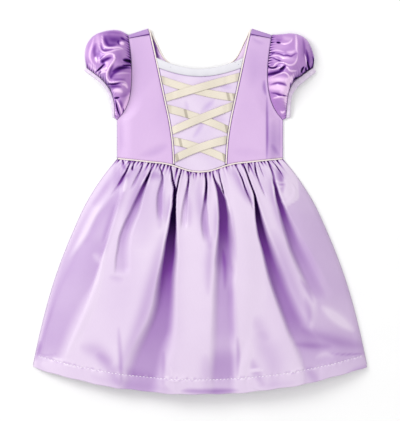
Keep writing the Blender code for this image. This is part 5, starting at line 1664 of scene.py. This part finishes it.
@dataclass
class Sleeve:
    """A puff sleeve gathered into the armhole and into its cuff, and the cuff's binding."""

    side: Side
    shape: SleeveShape
    finishes: Finishes
    front_columns: int = 150
    under_columns: int = 30
    rows: int = 84
    puff: float = 30.0
    edge_z: float = 3.4
    over_bodice: float = 1.5
    cuff_height: float = 9.5

    def columns(self) -> tuple[Grid, Grid]:
        """Share of the way across of each column of the flattened tube, and whether it is on the front."""
        u = np.linspace(0, 1, self.front_columns)
        front = u / 2 + (1 - np.cos(np.pi * u)) / 4
        under = np.linspace(1, 0, self.under_columns)
        return np.concatenate([front, under]), np.arange(len(front) + len(under)) < len(front)

    def build(self) -> None:
        """Makes the sleeve and its binding.

        In plan the sleeve is blended between the armhole and the cuff's seam, with its top drawn out
        to the cap's outline. Its front stands up as a power of 4d(1 - d) on the way down d, less
        towards the underarm where the cloth is short, with the creases and both rows of gathers added.
        """
        across, on_front = self.columns()
        round_off = np.sin(np.pi * across) ** 0.5
        arm = CUT.set_in(self.side, straight(CUT.armhole_line()[::-1], across)) + (0.5, 0)
        seam = along(self.shape.seam, across)
        length = np.linalg.norm(seam - arm, axis=1)
        downs = (1 - np.cos(np.linspace(0, np.pi, self.rows))) / 2
        cap = along(self.shape.cap, downs)
        d = downs[:, None]
        lift = cap - (arm[0] * (1 - d) + seam[0] * d)
        plan = arm[None] * (1 - d[..., None]) + seam[None] * d[..., None]
        plan = plan + lift[:, None, :] * ((1 - across) ** 1.6)[None, :, None]
        x, y = plan[..., 0], plan[..., 1]
        arm_z = CUT.front_top(arm[:, 0], arm[:, 1]) + self.over_bodice
        puff = np.minimum(self.puff, 0.6 * length)[None, :] * (4 * d * (1 - d)) ** 0.8
        crease_z, shade = creased(self.shape.creases, x, y)
        inside = smooth(np.minimum(d, 1 - d) / 0.06)
        high = arm_z[None, :] * (1 - d) + self.cuff_height * d + puff + crease_z * inside
        front = self.edge_z + (high - self.edge_z) * round_off[None, :]
        dip, dark = self.gathering(across, d, length)
        front = front - dip * round_off[None, :] ** 4
        shade = np.maximum(shade, dark) + np.minimum(shade, 0)
        seen = on_front[None, :]
        z = np.where(seen, front, 0)
        points = xyz(x * self.side.value, y, z)
        made = cloth_object(f"sleeve_satin_{self.side.word}", points, self.finishes.sleeve,
                            np.where(seen, shade, 0), ring=True, wall=0.9)
        sew_in(made, "sleeve_satin", f"sleeve_{self.side.word}")
        self.binding(across, on_front, seam, round_off)

    def gathering(self, across: Grid, d: Grid, length: Grid) -> tuple[Grid, Grid]:
        """Dip and painted shade of the gathers at the armhole and at the cuff.

        Each is a narrow valley with painted shade that fades away from the seam, with its own depth and
        length, and a painted highlight on the ridge between two. The armhole's fade out under the arm,
        where the sleeve is set in flat.
        """
        total, shade = np.zeros((len(d), len(across))), np.zeros((len(d), len(across)))
        at_arm = run_of(straight(CUT.armhole_line()[::-1], across))
        at_cuff = run_of(along(self.shape.seam, across))
        flat_from = 1 - smooth((across - 0.34) / 0.06)
        sparse_from = 1 - 0.85 * smooth((across - 0.5) / 0.2)
        rows = ((at_arm, 4.4, d, 5, flat_from, 2.0, 1.1), (at_cuff, 3.8, 1 - d, 6, sparse_from, 3.4, 1.0))
        for run, pitch, from_end, salt, weight, fade, wide in rows:
            away = from_end * length[None, :]
            index = np.round(run / pitch)
            deep = (0.35 + 0.65 * uneven(index, salt)) * weight
            fading = np.exp(-away / (1.2 + 4 * uneven(index, salt + 2) ** 3))
            valley, ridge = pinches(run, pitch, wide, 0.9)
            total = total + 1.6 * deep * valley * fading
            shade = shade + deep * (2.4 * valley * np.exp(-away / fade) - 0.5 * ridge * fading)
        return total, shade

    def binding(self, across: Grid, on_front: Grid, seam: Grid, round_off: Grid) -> None:
        """Makes the folded binding round the cuff, a little puckered where it is stitched."""
        edge = along(self.shape.edge, across)
        step = edge - seam
        start = seam + step * (CUT.gap / np.linalg.norm(step, axis=1))[:, None]
        t = np.linspace(0, 1, 9)[:, None, None]
        plan = start[None] * (1 - t) + edge[None] * t
        roll = 0.6 * (1 - (2 * t[..., 0] - 1) ** 4)
        pucker = 0.2 * np.sin(across * 150 / 0.75)[None, :]
        top = self.edge_z + (self.cuff_height - self.edge_z) * round_off[None, :] + (roll + pucker - 0.8)
        z = np.where(on_front[None, :], top, 0)
        # Painted shade along both edges, where the binding rolls under, and faint stripes of tone across it.
        shade = 0.2 * (2 * t[..., 0] - 1) ** 4 + 0.06 * np.sin(across * 60)[None, :]
        made = cloth_object(f"cuff_binding_cotton_{self.side.word}",
                            np.concatenate([plan * (self.side.value, 1), z[..., None]], axis=-1),
                            self.finishes.cuff, shade, ring=True, wall=1.0)
        sew_in(made, "cuff_cloth", f"cuff_binding_{self.side.word}")


@dataclass
class Studio:
    """The plain floor, the soft light from the upper left and the camera straight above."""

    picture_width_mm: float = 660.0
    lens_mm: float = 150.0
    sensor_mm: float = 36.0
    middle_z_mm: float = 10.0
    # How bright the surroundings are at floor level and overhead.
    glow: Pair = (0.48, 1.13)
    key_watts: float = 16.5
    key_metres: float = 0.9
    key_place: tuple[float, float, float] = (-1.35, 0.75, 1.35)
    floor_metres: float = 8.0
    floor_drop_mm: float = 0.3

    def floor(self) -> None:
        """Makes the floor."""
        mesh = bpy.data.meshes.new("studio_floor")
        reach, level = self.floor_metres / 2, -self.floor_drop_mm * MM
        mesh.from_pydata([(-reach, -reach, level), (reach, -reach, level), (reach, reach, level),
                          (-reach, reach, level)], [], [(0, 1, 2, 3)])
        mesh.materials.append(PaperSweep().build())
        place_object("studio_floor", mesh)

    def lights(self) -> None:
        """Makes the white surroundings, brightest overhead, and one large soft key light."""
        scene = bpy.context.scene
        world = bpy.data.worlds.new("white_studio")
        world.use_nodes = True
        sky = Recipe(world.node_tree)
        way = sky.node("TexCoord").outputs["Generated"]
        height = sky.node("SeparateXYZ", links={0: way}).outputs["Z"]
        background = sky.tree.nodes["Background"]
        sky.tree.links.new(sky.spread(height, *self.glow), background.inputs["Strength"])
        background.inputs["Color"].default_value = (1, 1, 1, 1)
        scene.world = world
        light = bpy.data.lights.new("key_softbox", "AREA")
        light.shape = "DISK"
        light.size = self.key_metres
        light.energy = self.key_watts
        key = place_object("key_softbox", light)
        key.location = self.key_place
        key.rotation_mode = "QUATERNION"
        key.rotation_quaternion = key.location.to_track_quat("Z", "Y")
        scene.view_settings.view_transform = "Standard"

    def camera(self) -> None:
        """Makes the camera: a long lens, so that the picture's width spans the stated width."""
        data = bpy.data.cameras.new("overhead_camera")
        data.lens = self.lens_mm
        data.sensor_width = self.sensor_mm
        data.sensor_fit = "HORIZONTAL"
        distance = self.picture_width_mm * MM * self.lens_mm / self.sensor_mm
        camera = place_object("overhead_camera", data)
        camera.location = (0, 0, distance + self.middle_z_mm * MM)
        bpy.context.scene.camera = camera

    def build(self) -> None:
        """Sets up the studio."""
        self.floor()
        self.lights()
        self.camera()


def main() -> None:
    """Builds the dress piece by piece, then the studio."""
    logging.basicConfig(level=logging.INFO, format="%(name)s: %(message)s")
    finishes = Finishes()
    bodice = Bodice(finishes)
    parts = (Skirt(finishes), bodice, Piping(finishes), Lacing(finishes, bodice),
             Sleeve(Side.LEFT, LEFT_SLEEVE, finishes), Sleeve(Side.RIGHT, RIGHT_SLEEVE, finishes), Studio())
    for part in parts:
        part.build()


if __name__ == "__main__":
    main()
